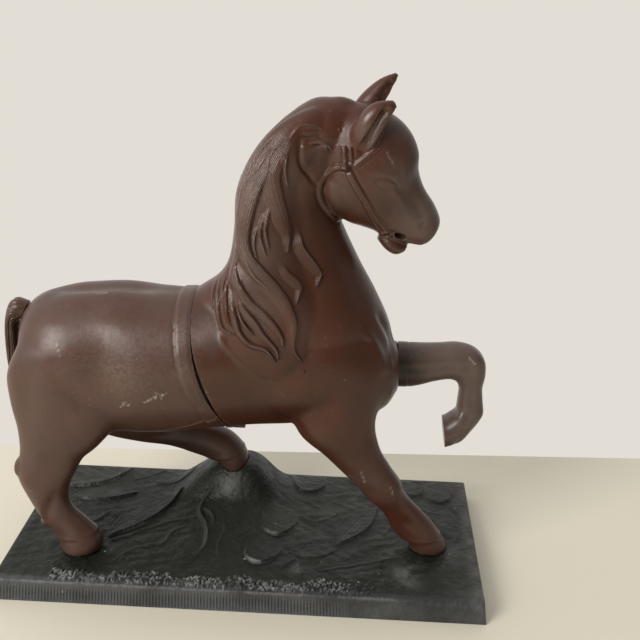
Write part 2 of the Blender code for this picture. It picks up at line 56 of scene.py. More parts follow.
# Rows: top x, top z, bottom x, bottom z, half width, middle y.
horse = dict(
    voxel=0.8,  # grain of the joined surface
    fineGrain=True,  # halves the grain on the head and the mane
    splitGap=0.07,  # between the left and the right shell
    torso=[
        (-136.0, 114.0, -136.0, 98.0, 6.0, 0.0),
        (-133.6, 122.5, -133.6, 86.0, 15.0, 0.0),
        (-127.0, 129.0, -127.0, 76.0, 22.5, 0.0),
        (-116.0, 132.4, -116.0, 69.5, 27.5, 0.0),
        (-102.0, 134.4, -102.0, 65.8, 29.8, 0.0),
        (-88.0, 135.4, -88.0, 65.0, 30.2, 0.0),
        (-72.0, 134.4, -72.0, 65.8, 30.0, 0.0),
        (-58.0, 134.4, -58.0, 67.6, 29.5, 0.0),
        (-44.0, 136.4, -44.0, 69.6, 29.0, 0.0),
        (-28.0, 138.0, -28.0, 71.2, 28.0, 0.0),
        (-10.0, 138.0, -10.0, 72.6, 27.4, 0.0),
        (8.0, 135.0, 8.0, 74.6, 26.4, 0.0),
        (22.0, 128.0, 22.0, 78.0, 23.0, 0.0),
        (31.0, 118.0, 31.0, 82.0, 16.6, 0.0),
        (36.4, 108.0, 36.4, 90.0, 7.6, 0.0),
    ],
    neck=[
        (-66.0, 122.0, 33.0, 97.0, 23.0, 0.0),
        (-55.0, 135.4, 34.0, 108.0, 25.0, 0.0),
        (-46.0, 141.8, 31.6, 122.0, 24.4, 0.0),
        (-40.4, 150.6, 25.0, 136.0, 22.5, 0.0),
        (-38.0, 165.0, 16.8, 151.0, 19.5, 0.0),
        (-36.8, 181.0, 9.0, 167.0, 16.6, 0.0),
        (-30.0, 197.0, 3.5, 179.5, 14.4, 0.0),
        (-18.5, 210.2, 6.0, 188.0, 12.6, 0.0),
        (-5.0, 219.8, 12.0, 196.0, 11.0, 0.0),
        (6.0, 220.6, 18.0, 200.0, 8.0, 0.0),
    ],
    head=[
        (4.0, 218.5, -2.0, 192.0, 8.5, 0.0),
        (17.0, 218.3, 0.4, 181.5, 12.8, 0.0),
        (28.5, 214.0, 4.6, 173.2, 14.6, 0.0),
        (35.6, 207.6, 10.5, 168.8, 14.6, 0.0),
        (39.4, 199.6, 16.5, 167.0, 13.0, 0.0),
        (39.9, 191.6, 22.0, 165.2, 10.8, 0.0),
        (42.8, 184.0, 26.4, 162.6, 9.2, 0.0),
        (47.2, 177.6, 31.6, 160.6, 8.6, 0.0),
        (50.2, 171.0, 37.4, 160.0, 8.2, 0.0),
        (49.6, 166.6, 42.0, 159.4, 6.6, 0.0),
        (47.2, 162.8, 44.2, 160.0, 3.0, 0.0),
    ],
    chin=[
        (27.0, 166.0, 23.6, 161.5, 4.0, 0.0),
        (31.0, 163.5, 27.5, 157.0, 6.2, 0.0),
        (35.0, 160.4, 31.6, 154.8, 5.8, 0.0),
        (37.2, 158.8, 35.4, 155.8, 3.2, 0.0),
    ],
    nearEar=[
        (8.6, 203.0, 18.6, 196.0, 4.0, -8.0),
        (11.6, 209.6, 21.4, 203.0, 5.0, -11.0),
        (14.9, 216.2, 23.8, 209.4, 4.7, -12.6),
        (20.4, 220.9, 26.6, 214.8, 3.5, -12.8),
        (27.6, 221.8, 29.2, 219.4, 1.0, -12.4),
    ],
    farEar=[
        (10.0, 213.0, 22.0, 211.0, 4.0, 8.0),
        (13.0, 218.6, 24.6, 217.6, 4.8, 9.2),
        (17.6, 223.6, 27.0, 222.0, 4.0, 9.6),
        (22.6, 227.4, 28.6, 225.6, 2.8, 9.6),
        (28.6, 230.0, 29.8, 228.8, 0.8, 9.4),
    ],
    nearForeleg=[
        (30.0, 102.0, -16.0, 92.0, 10.5, -14.0),
        (27.0, 80.0, -8.6, 74.0, 10.6, -14.6),
        (29.0, 67.0, 2.6, 64.0, 9.6, -14.6),
        (34.0, 57.5, 11.6, 54.5, 8.2, -14.3),
        (39.2, 49.2, 19.0, 46.2, 7.2, -13.8),
        (41.6, 43.0, 24.2, 38.4, 6.8, -13.3),
        (45.3, 37.8, 31.0, 33.0, 5.9, -12.5),
        (51.2, 31.0, 34.9, 26.0, 6.0, -11.6),
        (57.0, 24.0, 38.3, 19.6, 6.9, -10.8),
        (61.2, 17.4, 43.2, 16.0, 7.8, -10.2),
        (64.0, 12.6, 45.4, 12.8, 8.5, -9.8),
        (63.9, 10.9, 45.7, 10.9, 8.6, -9.8),
    ],
    chestBoss=[
        (16.0, 105.0, 16.0, 87.0, 8.4, 13.4),
        (27.0, 106.8, 27.0, 85.0, 9.2, 13.8),
        (36.3, 107.2, 36.3, 84.5, 9.4, 14.0),
    ],
    nearHindLeg=[
        (-90.0, 110.0, -133.0, 112.0, 10.5, -16.0),
        (-86.8, 91.0, -138.0, 99.0, 11.5, -18.4),
        (-89.6, 76.5, -137.6, 85.0, 11.5, -19.6),
        (-97.5, 66.0, -135.0, 73.5, 10.4, -21.4),
        (-105.0, 60.0, -134.5, 62.5, 8.6, -22.8),
        (-108.8, 53.0, -136.0, 54.5, 7.6, -23.8),
        (-112.4, 46.0, -135.4, 46.4, 7.0, -24.2),
        (-114.2, 38.4, -131.0, 34.4, 6.1, -23.8),
        (-111.6, 31.6, -127.4, 26.6, 5.9, -23.4),
        (-107.0, 26.6, -123.6, 21.8, 6.4, -23.2),
        (-102.4, 21.4, -121.4, 17.6, 7.2, -23.0),
        (-99.9, 17.0, -120.0, 14.6, 8.4, -23.0),
        (-99.7, 13.6, -119.4, 12.6, 9.2, -23.0),
        (-100.6, 10.9, -119.4, 10.9, 9.4, -23.0),
    ],
    farHindLeg=[
        (-94.0, 110.0, -133.0, 110.0, 10.5, 16.0),
        (-89.0, 92.0, -138.0, 96.0, 11.0, 19.0),
        (-88.6, 77.0, -135.0, 79.0, 10.6, 22.0),
        (-90.4, 67.0, -129.0, 63.0, 9.6, 24.6),
        (-93.0, 59.6, -124.6, 50.6, 8.2, 26.6),
        (-89.6, 56.4, -108.6, 43.4, 7.2, 27.8),
        (-83.0, 54.6, -92.6, 39.8, 6.6, 28.6),
        (-71.0, 52.8, -77.0, 38.0, 6.4, 29.0),
        (-59.6, 51.4, -64.4, 34.0, 6.8, 29.2),
        (-48.4, 48.4, -57.4, 31.8, 7.6, 29.2),
        (-41.6, 43.0, -53.6, 30.4, 8.2, 29.2),
        (-37.4, 36.0, -51.2, 29.4, 8.6, 29.2),
        (-36.4, 28.2, -50.6, 28.0, 8.8, 29.2),
    ],
    maneMass=[
        (3.0, 213.0, 6.0, 208.4, 0.8, -4.6),
        (-4.0, 217.4, 4.0, 206.6, 3.2, -7.0),
        (-19.0, 209.6, -3.0, 196.0, 5.6, -9.6),
        (-30.0, 194.6, -9.5, 183.0, 5.8, -12.0),
        (-34.4, 177.6, -10.5, 169.4, 6.0, -14.6),
        (-35.0, 162.0, -6.0, 153.0, 6.5, -17.6),
        (-38.0, 148.0, -1.0, 138.0, 7.0, -21.0),
        (-43.0, 133.0, -4.0, 123.0, 6.0, -24.0),
        (-38.0, 118.0, -8.0, 111.0, 4.6, -25.6),
        (-29.0, 108.0, -14.0, 105.0, 2.4, -26.4),
    ],
)
# The parting between front and rear body, as x and z down the side.
girth = [
    (-55.6, 236.0),
    (-55.6, 136.0),
    (-54.6, 124.0),
    (-52.6, 111.0),
    (-48.6, 97.0),
    (-43.2, 83.0),
    (-36.4, 66.0),
]


def throughRows(rows, steps):
    # Cubic through the rows: between two rows, the row before and the row after bend the line (Catmull-Rom).
    rows = np.array(rows, dtype=float)
    padded = np.vstack([2 * rows[0] - rows[1], rows, 2 * rows[-1] - rows[-2]])
    before, start, end, after = (padded[k : len(rows) - 1 + k, None] for k in range(4))
    t = (np.arange(steps) / steps)[None, :, None]
    linear = (end - before) * t
    square = (2 * before - 5 * start + 4 * end - after) * t**2
    cube = (3 * start - 3 * end + after - before) * t**3
    between = (start + 0.5 * (linear + square + cube)).reshape(-1, rows.shape[1])
    return np.vstack([between, rows[-1:]])


def loftGrid(rows, steps=6, around=72):
    # Ring by ring an ellipse: its middle, plus cosine times half the height line, plus sine times half width.
    rings = throughRows(rows, steps)
    turn = np.arange(around) * 2 * math.pi / around
    topX, topZ, lowX, lowZ, half, middle = (rings[:, k : k + 1] for k in range(6))
    x = (topX + lowX) / 2 + (topX - lowX) / 2 * np.cos(turn)
    z = (topZ + lowZ) / 2 + (topZ - lowZ) / 2 * np.cos(turn)
    y = middle + half * np.sin(turn)
    return np.stack([x, y, z], axis=2)


def tubeFaces(rings, around, first=0):
    # Quads from ring to ring, and a fan to one extra point at each end.
    ring, step = np.meshgrid(np.arange(rings - 1), np.arange(around), indexing="ij")
    a = ring * around + step
    b = ring * around + (step + 1) % around
    quads = np.stack([a, b, b + around, a + around], axis=2).reshape(-1, 4) + first
    k = np.arange(around)
    nxt = (k + 1) % around
    last = (rings - 1) * around
    start = np.full(around, rings * around)
    low = np.stack([nxt, k, start], axis=1)
    high = np.stack([last + k, last + nxt, start + 1], axis=1)
    return quads, np.vstack([low, high]) + first


def putMesh(name, points, quads, triangles=None):
    # Points in table millimetres, moved to the model's frame in metres.
    mesh = bpy.data.meshes.new(name)
    faces = [np.asarray(quads, dtype=np.int32).reshape(-1, 4)]
    if triangles is not None:
        faces.append(np.asarray(triangles, dtype=np.int32).reshape(-1, 3))
    corners = np.concatenate([f.ravel() for f in faces])
    sizes = np.concatenate([np.full(len(f), f.shape[1]) for f in faces])
    starts = np.concatenate([[0], np.cumsum(sizes)[:-1]]).astype(np.int32)
    mesh.vertices.add(len(points))
    mesh.vertices.foreach_set("co", ((points + horseZero) * mm).astype(np.float32).ravel())
    mesh.loops.add(len(corners))
    mesh.loops.foreach_set("vertex_index", corners)
    mesh.polygons.add(len(sizes))
    mesh.polygons.foreach_set("loop_start", starts)
    mesh.update(calc_edges=True)
    item = bpy.data.objects.new(name, mesh)
    bpy.context.collection.objects.link(item)
    return item


def faceOut(item):
    builder = bmesh.new()
    builder.from_mesh(item.data)
    bmesh.ops.recalc_face_normals(builder, faces=builder.faces)
    builder.to_mesh(item.data)
    builder.free()
    return item


def tubeOf(name, grid):
    # A closed tube from a grid of rings.
    rings, around = grid.shape[:2]
    points = np.vstack([grid.reshape(-1, 3), grid[0].mean(axis=0), grid[-1].mean(axis=0)])
    return faceOut(putMesh(name, points, *tubeFaces(rings, around)))


def slabOf(name, outline, low, high, axis):
    # A flat outline carried straight along Y or Z; each end is closed with one face.
    outline = np.array(outline, dtype=float)
    count = len(outline)
    ends = []
    for level in (low, high):
        flat = np.full(count, float(level))
        order = (outline[:, 0], flat, outline[:, 1]) if axis == "Y" else (outline[:, 0], outline[:, 1], flat)
        ends.append(np.stack(order, axis=1))
    points = (np.vstack(ends) + horseZero) * mm
    k = np.arange(count)
    nxt = (k + 1) % count
    faces = [tuple(k[::-1].tolist()), tuple((k + count).tolist())]
    faces += np.stack([k, nxt, nxt + count, k + count], axis=1).tolist()
    mesh = bpy.data.meshes.new(name)
    mesh.from_pydata(points.tolist(), [], faces)
    item = bpy.data.objects.new(name, mesh)
    bpy.context.collection.objects.link(item)
    return faceOut(item)


def blockOf(name, low, high):
    corners = [(low[0], low[1]), (high[0], low[1]), (high[0], high[1]), (low[0], high[1])]
    return slabOf(name, corners, low[2], high[2], "Z")


def rodOf(name, x, y, low, high, radius, sides=40):
    turn = np.arange(sides) * 2 * math.pi / sides
    circle = np.stack([x + radius * np.cos(turn), y + radius * np.sin(turn)], axis=1)
    return slabOf(name, circle, low, high, "Z")


def pegOf(name, lowX, highX, radius, y, z, sides=40):
    # A round bar along X.
    turn = np.arange(sides) * 2 * math.pi / sides
    ring = np.stack([np.zeros(sides), y + radius * np.cos(turn), z + radius * np.sin(turn)], axis=1)
    return tubeOf(name, np.stack([ring + (lowX, 0, 0), ring + (highX, 0, 0)]))


def applied(item):
    # Bakes the modifiers into the mesh.
    graph = bpy.context.evaluated_depsgraph_get()
    mesh = bpy.data.meshes.new_from_object(item.evaluated_get(graph))
    item.modifiers.clear()
    old = item.data
    item.data = mesh
    bpy.data.meshes.remove(old)
    return item


def carve(item, tool, operation="DIFFERENCE", keep=False):
    change = item.modifiers.new("carve", "BOOLEAN")
    change.operation = operation
    change.solver = "MANIFOLD"
    change.object = tool
    applied(item)
    if len(item.data.vertices) < 8:
        raise RuntimeError(item.name + " came out empty after " + operation + " with " + tool.name)
    if not keep:
        bpy.data.objects.remove(tool)
    return item


def twin(item, name):
    other = item.copy()
    other.data = item.data.copy()
    other.name = name
    bpy.context.collection.objects.link(other)
    return other


def inset(rows, depth):
    # The same rows with the top, the bottom and both sides moved in.
    rows = np.array(rows, dtype=float)
    line = rows[:, 0:2] - rows[:, 2:4]
    step = line / np.linalg.norm(line, axis=1, keepdims=True) * depth
    out = rows.copy()
    out[:, 0:2] -= step
    out[:, 2:4] += step
    out[:, 4] -= depth
    return out


def pointsOf(mesh):
    flat = np.empty(len(mesh.vertices) * 3)
    mesh.vertices.foreach_get("co", flat)
    return flat.reshape(-1, 3) / mm - horseZero


def setPoints(mesh, points):
    mesh.vertices.foreach_set("co", ((points + horseZero) * mm).astype(np.float32).ravel())
    mesh.update()


def normalsOf(mesh):
    flat = np.empty(len(mesh.vertices) * 3, dtype=np.float32)
    mesh.vertex_normals.foreach_get("vector", flat)
    return flat.reshape(-1, 3).astype(float)


def edgesOf(mesh):
    flat = np.empty(len(mesh.edges) * 2, dtype=np.int32)
    mesh.edges.foreach_get("vertices", flat)
    return flat.reshape(-1, 2)


def neighbourMean(values, edges):
    # Sum over both ends of every edge, divided by the number of edges at the point.
    count = len(values)
    first, second = edges[:, 0], edges[:, 1]
    degree = np.maximum(np.bincount(first, minlength=count) + np.bincount(second, minlength=count), 1)
    columns = [values[:, k] for k in range(values.shape[1])]
    sums = [np.bincount(first, c[second], count) + np.bincount(second, c[first], count) for c in columns]
    return np.stack(sums, axis=1) / degree[:, None]


def smoothed(points, edges, rounds, weight):
    # Each round moves a point by the weight towards the mean of its neighbours.
    weight = np.asarray(weight).reshape(-1, 1) if np.ndim(weight) else weight
    for _ in range(rounds):
        points = points + weight * (neighbourMean(points, edges) - points)
    return points


def hump(points, centre, radii, tilt=0.0):
    # Bell over x and z: e to the minus squared distance, with the axes turned by tilt degrees.
    turn = math.radians(tilt)
    dx = points[:, 0] - centre[0]
    dz = points[:, 2] - centre[1]
    along = (dx * math.cos(turn) + dz * math.sin(turn)) / radii[0]
    over = (dz * math.cos(turn) - dx * math.sin(turn)) / radii[1]
    return np.exp(-(along**2) - over**2)


def nearLine(flat, route, reach, steps=14):
    # For the points within reach of a smooth line: how far along it (0 to 1), the distance, and the distance
    # with its side.
    line = throughRows(route, steps)
    low = line.min(axis=0) - reach
    high = line.max(axis=0) + reach
    pick = np.flatnonzero(((flat > low) & (flat < high)).all(axis=1))
    gap = flat[pick, None, :] - line[None]
    square = (gap**2).sum(axis=2)
    nearest = square.argmin(axis=1)
    away = np.sqrt(square[np.arange(len(pick)), nearest])
    tangent = np.gradient(line, axis=0)
    tangent /= np.linalg.norm(tangent, axis=1, keepdims=True)
    delta = gap[np.arange(len(pick)), nearest]
    side = tangent[nearest, 0] * delta[:, 1] - tangent[nearest, 1] * delta[:, 0]
    inside = (nearest > 0) & (nearest < len(line) - 1)
    across = np.where(inside, np.abs(side), away)
    close = across < reach
    return pick[close], (nearest / (len(line) - 1))[close], across[close], side[close]


def smoothStep(value, low, high):
    t = np.clip((value - low) / (high - low), 0.0, 1.0)
    return t * t * (3 - 2 * t)


print("tables and helpers ready")

# The mane: each lock is its front edge as x and z from root to tip, then its width and its height.
mane = dict(
    strandPitch=1.6,  # of the modelled strands
    strandHeight=0.22,
    hairPitch=0.62,  # of the fine hairs that the material adds
    locks=[
        ([(-16, 209), (-24, 200), (-30.2, 184), (-31.7, 174), (-32.2, 166), (-33.5, 156), (-37, 147)],
         7.0, 0.7),
        ([(-13, 209), (-20.4, 198.6), (-24.4, 192.6), (-27.4, 185), (-29.6, 177), (-30.6, 168), (-30.4, 160)],
         6.0, 0.8),
        ([(-9, 210), (-16.8, 200.8), (-21, 191.7), (-24.1, 185), (-26.7, 176.3), (-28.4, 166), (-26.7, 159.1),
          (-21.6, 153.5), (-14.5, 145.9), (-10.4, 139), (-8.2, 131), (-9.2, 121), (-6.9, 114.4)], 7.6, 2.0),
        ([(-31.5, 160), (-29.1, 157.7), (-27.4, 154.2), (-24.8, 150.7), (-18.5, 145.6), (-14, 141)],
         2.6, 1.9),
        ([(-8.3, 209), (-12.8, 200.7), (-16.2, 192), (-15.6, 185.1), (-14.2, 179.4), (-12.8, 173.4),
          (-11.8, 167.4), (-13, 160)], 8.5, 1.3),
        ([(-13.0, 201), (-14.2, 194), (-13.4, 186)], 1.6, 1.2),
        ([(-19.4, 180), (-21.6, 170.3), (-20.4, 162.0)], 2.0, 1.15),
        ([(-22.0, 177), (-23.6, 167.5), (-21.4, 159.0)], 1.8, 1.05),
        ([(-25.2, 171), (-26.2, 163.5), (-24.8, 157.0)], 1.6, 1.0),
        ([(-34.5, 158), (-33.6, 152), (-31.5, 147.4), (-26.4, 140.9), (-21.4, 136.7), (-17.0, 131.6),
          (-14.0, 126), (-13.9, 121)], 5.0, 1.8),
        ([(-31.6, 150), (-30.7, 143.5), (-27.3, 139.4), (-22.2, 135.9), (-19, 131.5)], 2.4, 2.0),
        ([(-34.6, 150), (-31.9, 142.5), (-29.8, 138.5), (-24.8, 132.5), (-22.3, 128.5), (-19.7, 125),
          (-16.4, 120.6), (-15.6, 115.5)], 4.2, 1.7),
        ([(-34.6, 147), (-32.6, 140.3), (-31.1, 134), (-28.2, 129.2), (-25.0, 126.4)], 1.9, 1.7),
        ([(-36.6, 145), (-34.4, 138), (-32.8, 132.6), (-31.5, 128.1), (-29, 124.6), (-26.1, 122.4),
          (-20.6, 120.4), (-16.5, 114.5)], 3.4, 1.7),
        ([(-37, 152), (-37.4, 144), (-36.8, 134), (-35.2, 128.9)], 2.4, 1.1),
        ([(-39, 152), (-40.6, 143), (-40.6, 135.1), (-39.8, 130.6), (-38.2, 127.5), (-34.6, 126)], 2.6, 1.2),
        ([(-40, 151), (-42.6, 141), (-42.4, 131.4), (-41.2, 126.9), (-38.6, 123.6)], 2.4, 1.1),
        ([(-43.0, 146), (-45.6, 138.7), (-45.4, 131.5)], 1.8, 0.5),
        ([(-15.5, 158), (-11.8, 152.7), (-8.4, 149.7), (-6.5, 146.3), (-7, 143.5), (-8.8, 139.4)], 4.0, 1.3),
        ([(-9.5, 172), (-7.4, 165.7), (-6.1, 161.7), (-2.6, 157), (0.2, 153), (1.2, 150.0), (-0.8, 145.3)],
         4.6, 1.5),
    ],
    hollows=[  # route, half width, depth: the valley between mane and neck, and the recess at the crown
        ([(-12, 192), (-10.5, 184), (-8.8, 177), (-7.4, 170), (-5, 162)], 3.2, 0.9),
        ([(-8.6, 207.5), (-9.2, 201), (-8.2, 195), (-4.6, 189.5), (-1.5, 185)], 1.1, 1.0),
        ([(-8.6, 207.0), (-4.6, 206.6), (0.5, 207.4)], 1.0, 0.8),
    ],
    curls=[  # low curls where the mane starts behind the ears, again by their front edge
        ([(-14, 205), (-10, 210.5), (-4, 211), (0, 209.4)], 1.8, 0.5),
        ([(-7.5, 203.5), (-3.4, 204.8), (1.5, 203.6), (4.6, 201.0)], 1.5, 0.6),
        ([(-1.5, 205.6), (0.8, 203.4), (2.4, 200.4)], 1.0, 0.6),
    ],
    farLocks=9,
)


def lockField(flat, locks, pitch, strand):
    # Inside a lock s runs from 0 at its back to 1 at its front edge, and the height is s to the 0.9 times
    # (1 - s) to the 0.35: a lopsided arch with a crisp front. Strands are the sharp crests of one minus the
    # absolute sine, evenly spread over the width, so they close up at the tip. Where locks overlap the higher
    # one shows. The second result is how many hairs lie between the point and the back edge, and the third is
    # how much they show.
    field, hairs, shown = np.zeros(len(flat)), np.zeros(len(flat)), np.zeros(len(flat))
    for number, (route, width, height) in enumerate(locks):
        pick, along, across, side = nearLine(flat, route, width + 0.2, 10)
        narrowing = width * (1 - along**3) ** 0.7 * (0.6 + 0.4 * smoothStep(along, 0.0, 0.25)) + 0.05
        s = np.where(across < width + 0.1, 1 + side / narrowing, -1.0)
        within = (s > 0) & (s < 1)
        s = np.clip(s, 0.0, 1.0)
        arch = 2.1 * s**0.9 * (1 - s) ** 0.35
        phase = s * width / pitch * math.pi + 1.1 * number
        crests = (1 - np.abs(np.sin(phase))) ** 1.3 * (0.65 + 0.35 * np.sin(0.71 * phase + number))
        body = smoothStep(along, -0.02, 0.34) * (1 - 0.35 * along**3)
        value = within * body * (arch * height + strand * crests * np.sqrt(s * (1 - s)) * 2)
        higher = value > field[pick]
        chosen = pick[higher]
        field[chosen] = value[higher]
        hairs[chosen] = (s * width / mane["hairPitch"] + 0.37 * number)[higher]
        shown[chosen] = (smoothStep(body, 0.0, 0.5) * smoothStep(np.sqrt(s * (1 - s)), 0.1, 0.3))[higher]
    return field, hairs, shown


def farManeLocks(count):
    # Shorter locks over the crest on the far side: each starts at the crest and curves back and down.
    crest = throughRows([(-4, 216), (-17, 206), (-27, 193), (-33, 178), (-35, 163), (-37, 149)], 8)
    starts = crest[np.linspace(0, len(crest) - 1, count).astype(int)]
    locks = []
    for number, (x, z) in enumerate(starts):
        sway = 2.5 * math.sin(1.9 * number)
        reach = 24 + 5 * math.cos(2.3 * number)
        upper, lower = (x + 4 + sway, z - reach * 0.33), (x + 5 - sway, z - reach * 0.7)
        locks.append(([(x, z), upper, lower, (x + 9, z - reach)], 6.5, 1.3))
    return locks


bridle = dict(
    straps=[  # route of x and z, half width, height
        ([(6, 208.5), (8.4, 203.4), (9.0, 198.7), (9.5, 195.2)], 0.95, 0.75),
        ([(10.2, 207.5), (11.3, 201), (11.6, 196.5)], 0.75, 0.6),
        ([(10, 194.5), (4.8, 193.6), (0.7, 188.9), (-0.9, 184.5), (0.2, 179.5), (3, 175.2), (7, 170.6)],
         0.95, 0.8),
        ([(9.7, 194.8), (13.1, 188.9), (17.9, 181.0), (22.9, 171.5), (27.2, 166.0)], 1.3, 0.8),
        ([(11.0, 194.6), (14.5, 196.4), (18.6, 199.8), (22.5, 203.2), (25.0, 205.4)], 0.9, 0.5),
    ],
    knot=(9.6, 195.0, 1.9, 1.1),  # x, z, radius, height
    ring=(27.6, 165.2, 1.7, 0.6),
)


def strapField(points, offset):
    # A flat band with soft edges and a shallow groove along each side.
    flat = points[:, [0, 2]]
    for route, half, height in bridle["straps"]:
        pick, _, across, _ = nearLine(flat, route, half + 1.6)
        band = height * (1 - smoothStep(across, half - 0.4, half + 0.4))
        groove = -0.16 * np.exp(-(((across - half - 0.7) / 0.45) ** 2))
        offset[pick] += band + groove
    x, z, radius, height = bridle["knot"]
    away = np.hypot(flat[:, 0] - x, flat[:, 1] - z) / radius
    offset += height * np.exp(-(away**4)) - 0.3 * np.exp(-(((away - 1.35) / 0.2) ** 2))
    x, z, radius, height = bridle["ring"]
    away = np.hypot(flat[:, 0] - x, flat[:, 1] - z)
    offset += height * np.exp(-(((away - radius) / 0.45) ** 2))
    return offset


face = dict(
    humps=[  # x, z, radius along, radius over, tilt, height: on both sides of the head
        (26.0, 192.4, 5.6, 1.7, -12, 0.45),  # brow
        (26.2, 188.6, 2.6, 1.5, -12, 0.35),  # eyeball
        (31.5, 186.0, 2.2, 1.6, -30, -0.35),  # inner corner of the eye
        (33.0, 180.5, 7.0, 1.6, -58, 0.55),  # ridge below the eye
        (29.0, 177.0, 5.0, 2.4, -58, -0.6),  # hollow under the ridge
        (40.0, 178.0, 6.0, 1.8, -62, -0.5),  # along the nose bone
        (9.0, 184.0, 6.5, 8.5, 0, 0.35),  # cheek
        (42.4, 170.6, 1.7, 0.9, 40, -0.55),  # nostril
        (43.4, 172.3, 2.6, 1.0, 30, 0.45),  # rim of the nostril
        (-1.8, 202.0, 5.2, 2.6, 8, 0.9),  # shiny fold behind the crown strap
        (34.2, 192.2, 1.6, 4.6, 10, 0.35),  # brow bone
    ],
    grooves=[  # route, half width, depth
        ([(29.0, 166.4), (33.0, 164.6), (38.0, 162.4), (43.5, 161.0)], 0.7, 0.9),
        ([(21.4, 189.2), (23.8, 190.8), (27.6, 190.4), (31.2, 187.6)], 0.38, 0.34),
        ([(22.2, 188.2), (24.8, 186.6), (28.0, 186.0), (30.8, 187.0)], 0.33, 0.22),
    ],
    nearEarHollow=([(15.9, 202.6), (18.9, 207.5), (21.8, 212.4), (24.4, 217.1), (26.4, 219.6)], 1.9, 2.4),
    farEarHollow=([(18.6, 213.6), (21.8, 218.2), (24.6, 222.8), (27.6, 227.0)], 1.9, 2.0),
    mouth=((33.6, 6.8, 164.5), (2.9, 4.4, 1.75), 16),  # middle, radii, tilt: cut from both sides
)

body = dict(
    humps=[  # x, z, radius along, radius over, tilt, height, side: -1 near, 1 far, 0 both
        (2, 117, 13, 24, -18, 1.6, 0),  # shoulder blade
        (-9, 96, 12, 10, 0, 1.5, 0),  # upper arm
        (14, 96, 10, 12, 0, 1.4, -1),  # chest muscle
        (-6, 142, 9, 16, 25, -0.9, 0),  # in front of the shoulder
        (13, 150, 4.5, 20, 20, -0.9, 0),  # throat groove
        (-93, 106, 10, 16, 10, -1.8, 0),  # flank
        (-117, 112, 15, 17, 0, 1.8, 0),  # haunch
        (-97, 84, 8, 9, 0, 1.2, 0),  # stifle
        (-126, 92, 5, 16, -8, -0.9, 0),  # between the thigh muscles
        (-70, 104, 22, 18, 0, 0.7, 0),  # ribs
        (-62, 74, 20, 5, 6, 0.6, 0),  # belly line
        (-12, 81, 3, 7, 50, -1.4, -1),  # crease behind the elbow
        (6, 76, 7, 9, 0, 0.8, -1),  # forearm
        (38, 47, 4, 6, 30, 0.7, -1),  # knee
        (23, 40, 2.2, 9, 40, -0.9, -1),  # tendon groove of the foreleg
        (44.5, 28, 2.4, 6, 40, -0.5, -1),
        (-118, 60, 6, 9, -30, -0.8, -1),  # above the hock
        (-131, 51, 4, 5, 0, 0.9, -1),  # point of the hock
        (-121, 36, 2.4, 9, -20, -0.8, -1),  # tendon groove of the hind leg
        (-80, 46, 10, 2.4, 5, -0.8, 1),
    ],
    hoofRings=[  # x and z of two points on the top edge of the hoof, and the leg's middle y
        (42.5, 17.0, 60.4, 18.6, -10.2),
        (-121.0, 17.2, -101.6, 20.6, -23.0),
        (-53.4, 33.2, -38.6, 38.4, 29.2),
    ],
    creases=[  # on the near side of the chest: route of x and z, half width, depth
        ([(24.6, 131.6), (28.2, 125.4), (31.6, 118.0), (33.4, 110.4), (33.6, 104.0)], 1.1, 1.3),
        ([(19.0, 126.0), (24.4, 118.6), (28.2, 110.0), (29.6, 102.6)], 1.7, -1.0),
    ],
    strapBehind=-6.4,  # the moulded girth strap: from here behind the parting
    strapAhead=-0.9,
    strapHeight=0.55,
)
tufts = [  # fetlock tufts and hock points: middle, radii, tilt about Y
    ((38.6, -11.4, 23.2), (3.4, 3.4, 2.4), 40),
    ((-125.6, -23.2, 24.2), (3.2, 3.2, 2.4), 35),
    ((-57.6, 29.2, 34.4), (3.0, 3.4, 2.2), 20),
    ((-135.0, -24.0, 54.0), (2.6, 4.0, 5.0), 10),
    ((-121.0, 27.0, 48.6), (4.6, 4.2, 3.0), 30),
    ((9.0, -5.8, 184.0), (9.4, 6.2, 10.8), 0),
    ((9.0, 5.8, 184.0), (9.4, 6.2, 10.8), 0),
    ((6.0, 0.0, 211.4), (11.0, 6.4, 9.6), 0),  # the poll between the ears
]


def eggGrid(middle, radii, tilt, rings=20, around=28):
    # A sphere stretched along its three axes and turned about Y.
    down = np.linspace(0.02, math.pi - 0.02, rings)[:, None]
    turn = (np.arange(around) * 2 * math.pi / around)[None, :]
    x = radii[0] * np.sin(down) * np.cos(turn)
    y = radii[1] * np.sin(down) * np.sin(turn)
    z = radii[2] * np.cos(down) * np.ones_like(turn)
    c, s = math.cos(math.radians(tilt)), math.sin(math.radians(tilt))
    return np.stack([middle[0] + c * x + s * z, middle[1] + y, middle[2] - s * x + c * z], axis=2)


def joinedSkin(name, grids, voxel):
    # All closed tubes in one mesh, turned into one skin by a voxel remesh.
    points, quads, triangles, first = [], [], [], 0
    for grid in grids:
        rings, around = grid.shape[:2]
        points.append(np.vstack([grid.reshape(-1, 3), grid[0].mean(axis=0), grid[-1].mean(axis=0)]))
        quad, triangle = tubeFaces(rings, around, first)
        quads.append(quad)
        triangles.append(triangle)
        first += len(points[-1])
    skin = putMesh(name, np.vstack(points), np.vstack(quads), np.vstack(triangles))
    remesh = skin.modifiers.new("remesh", "REMESH")
    remesh.mode = "VOXEL"
    remesh.voxel_size = voxel * mm
    return applied(skin)


def refine(item, wanted):
    # Halves the edges of the faces whose corners are all wanted.
    builder = bmesh.new()
    builder.from_mesh(item.data)
    builder.verts.ensure_lookup_table()
    chosen = set(np.flatnonzero(wanted).tolist())
    edges = [e for e in builder.edges if e.verts[0].index in chosen and e.verts[1].index in chosen]
    bmesh.ops.subdivide_edges(builder, edges=edges, cuts=1, use_grid_fill=True)
    builder.to_mesh(item.data)
    builder.free()
    return item


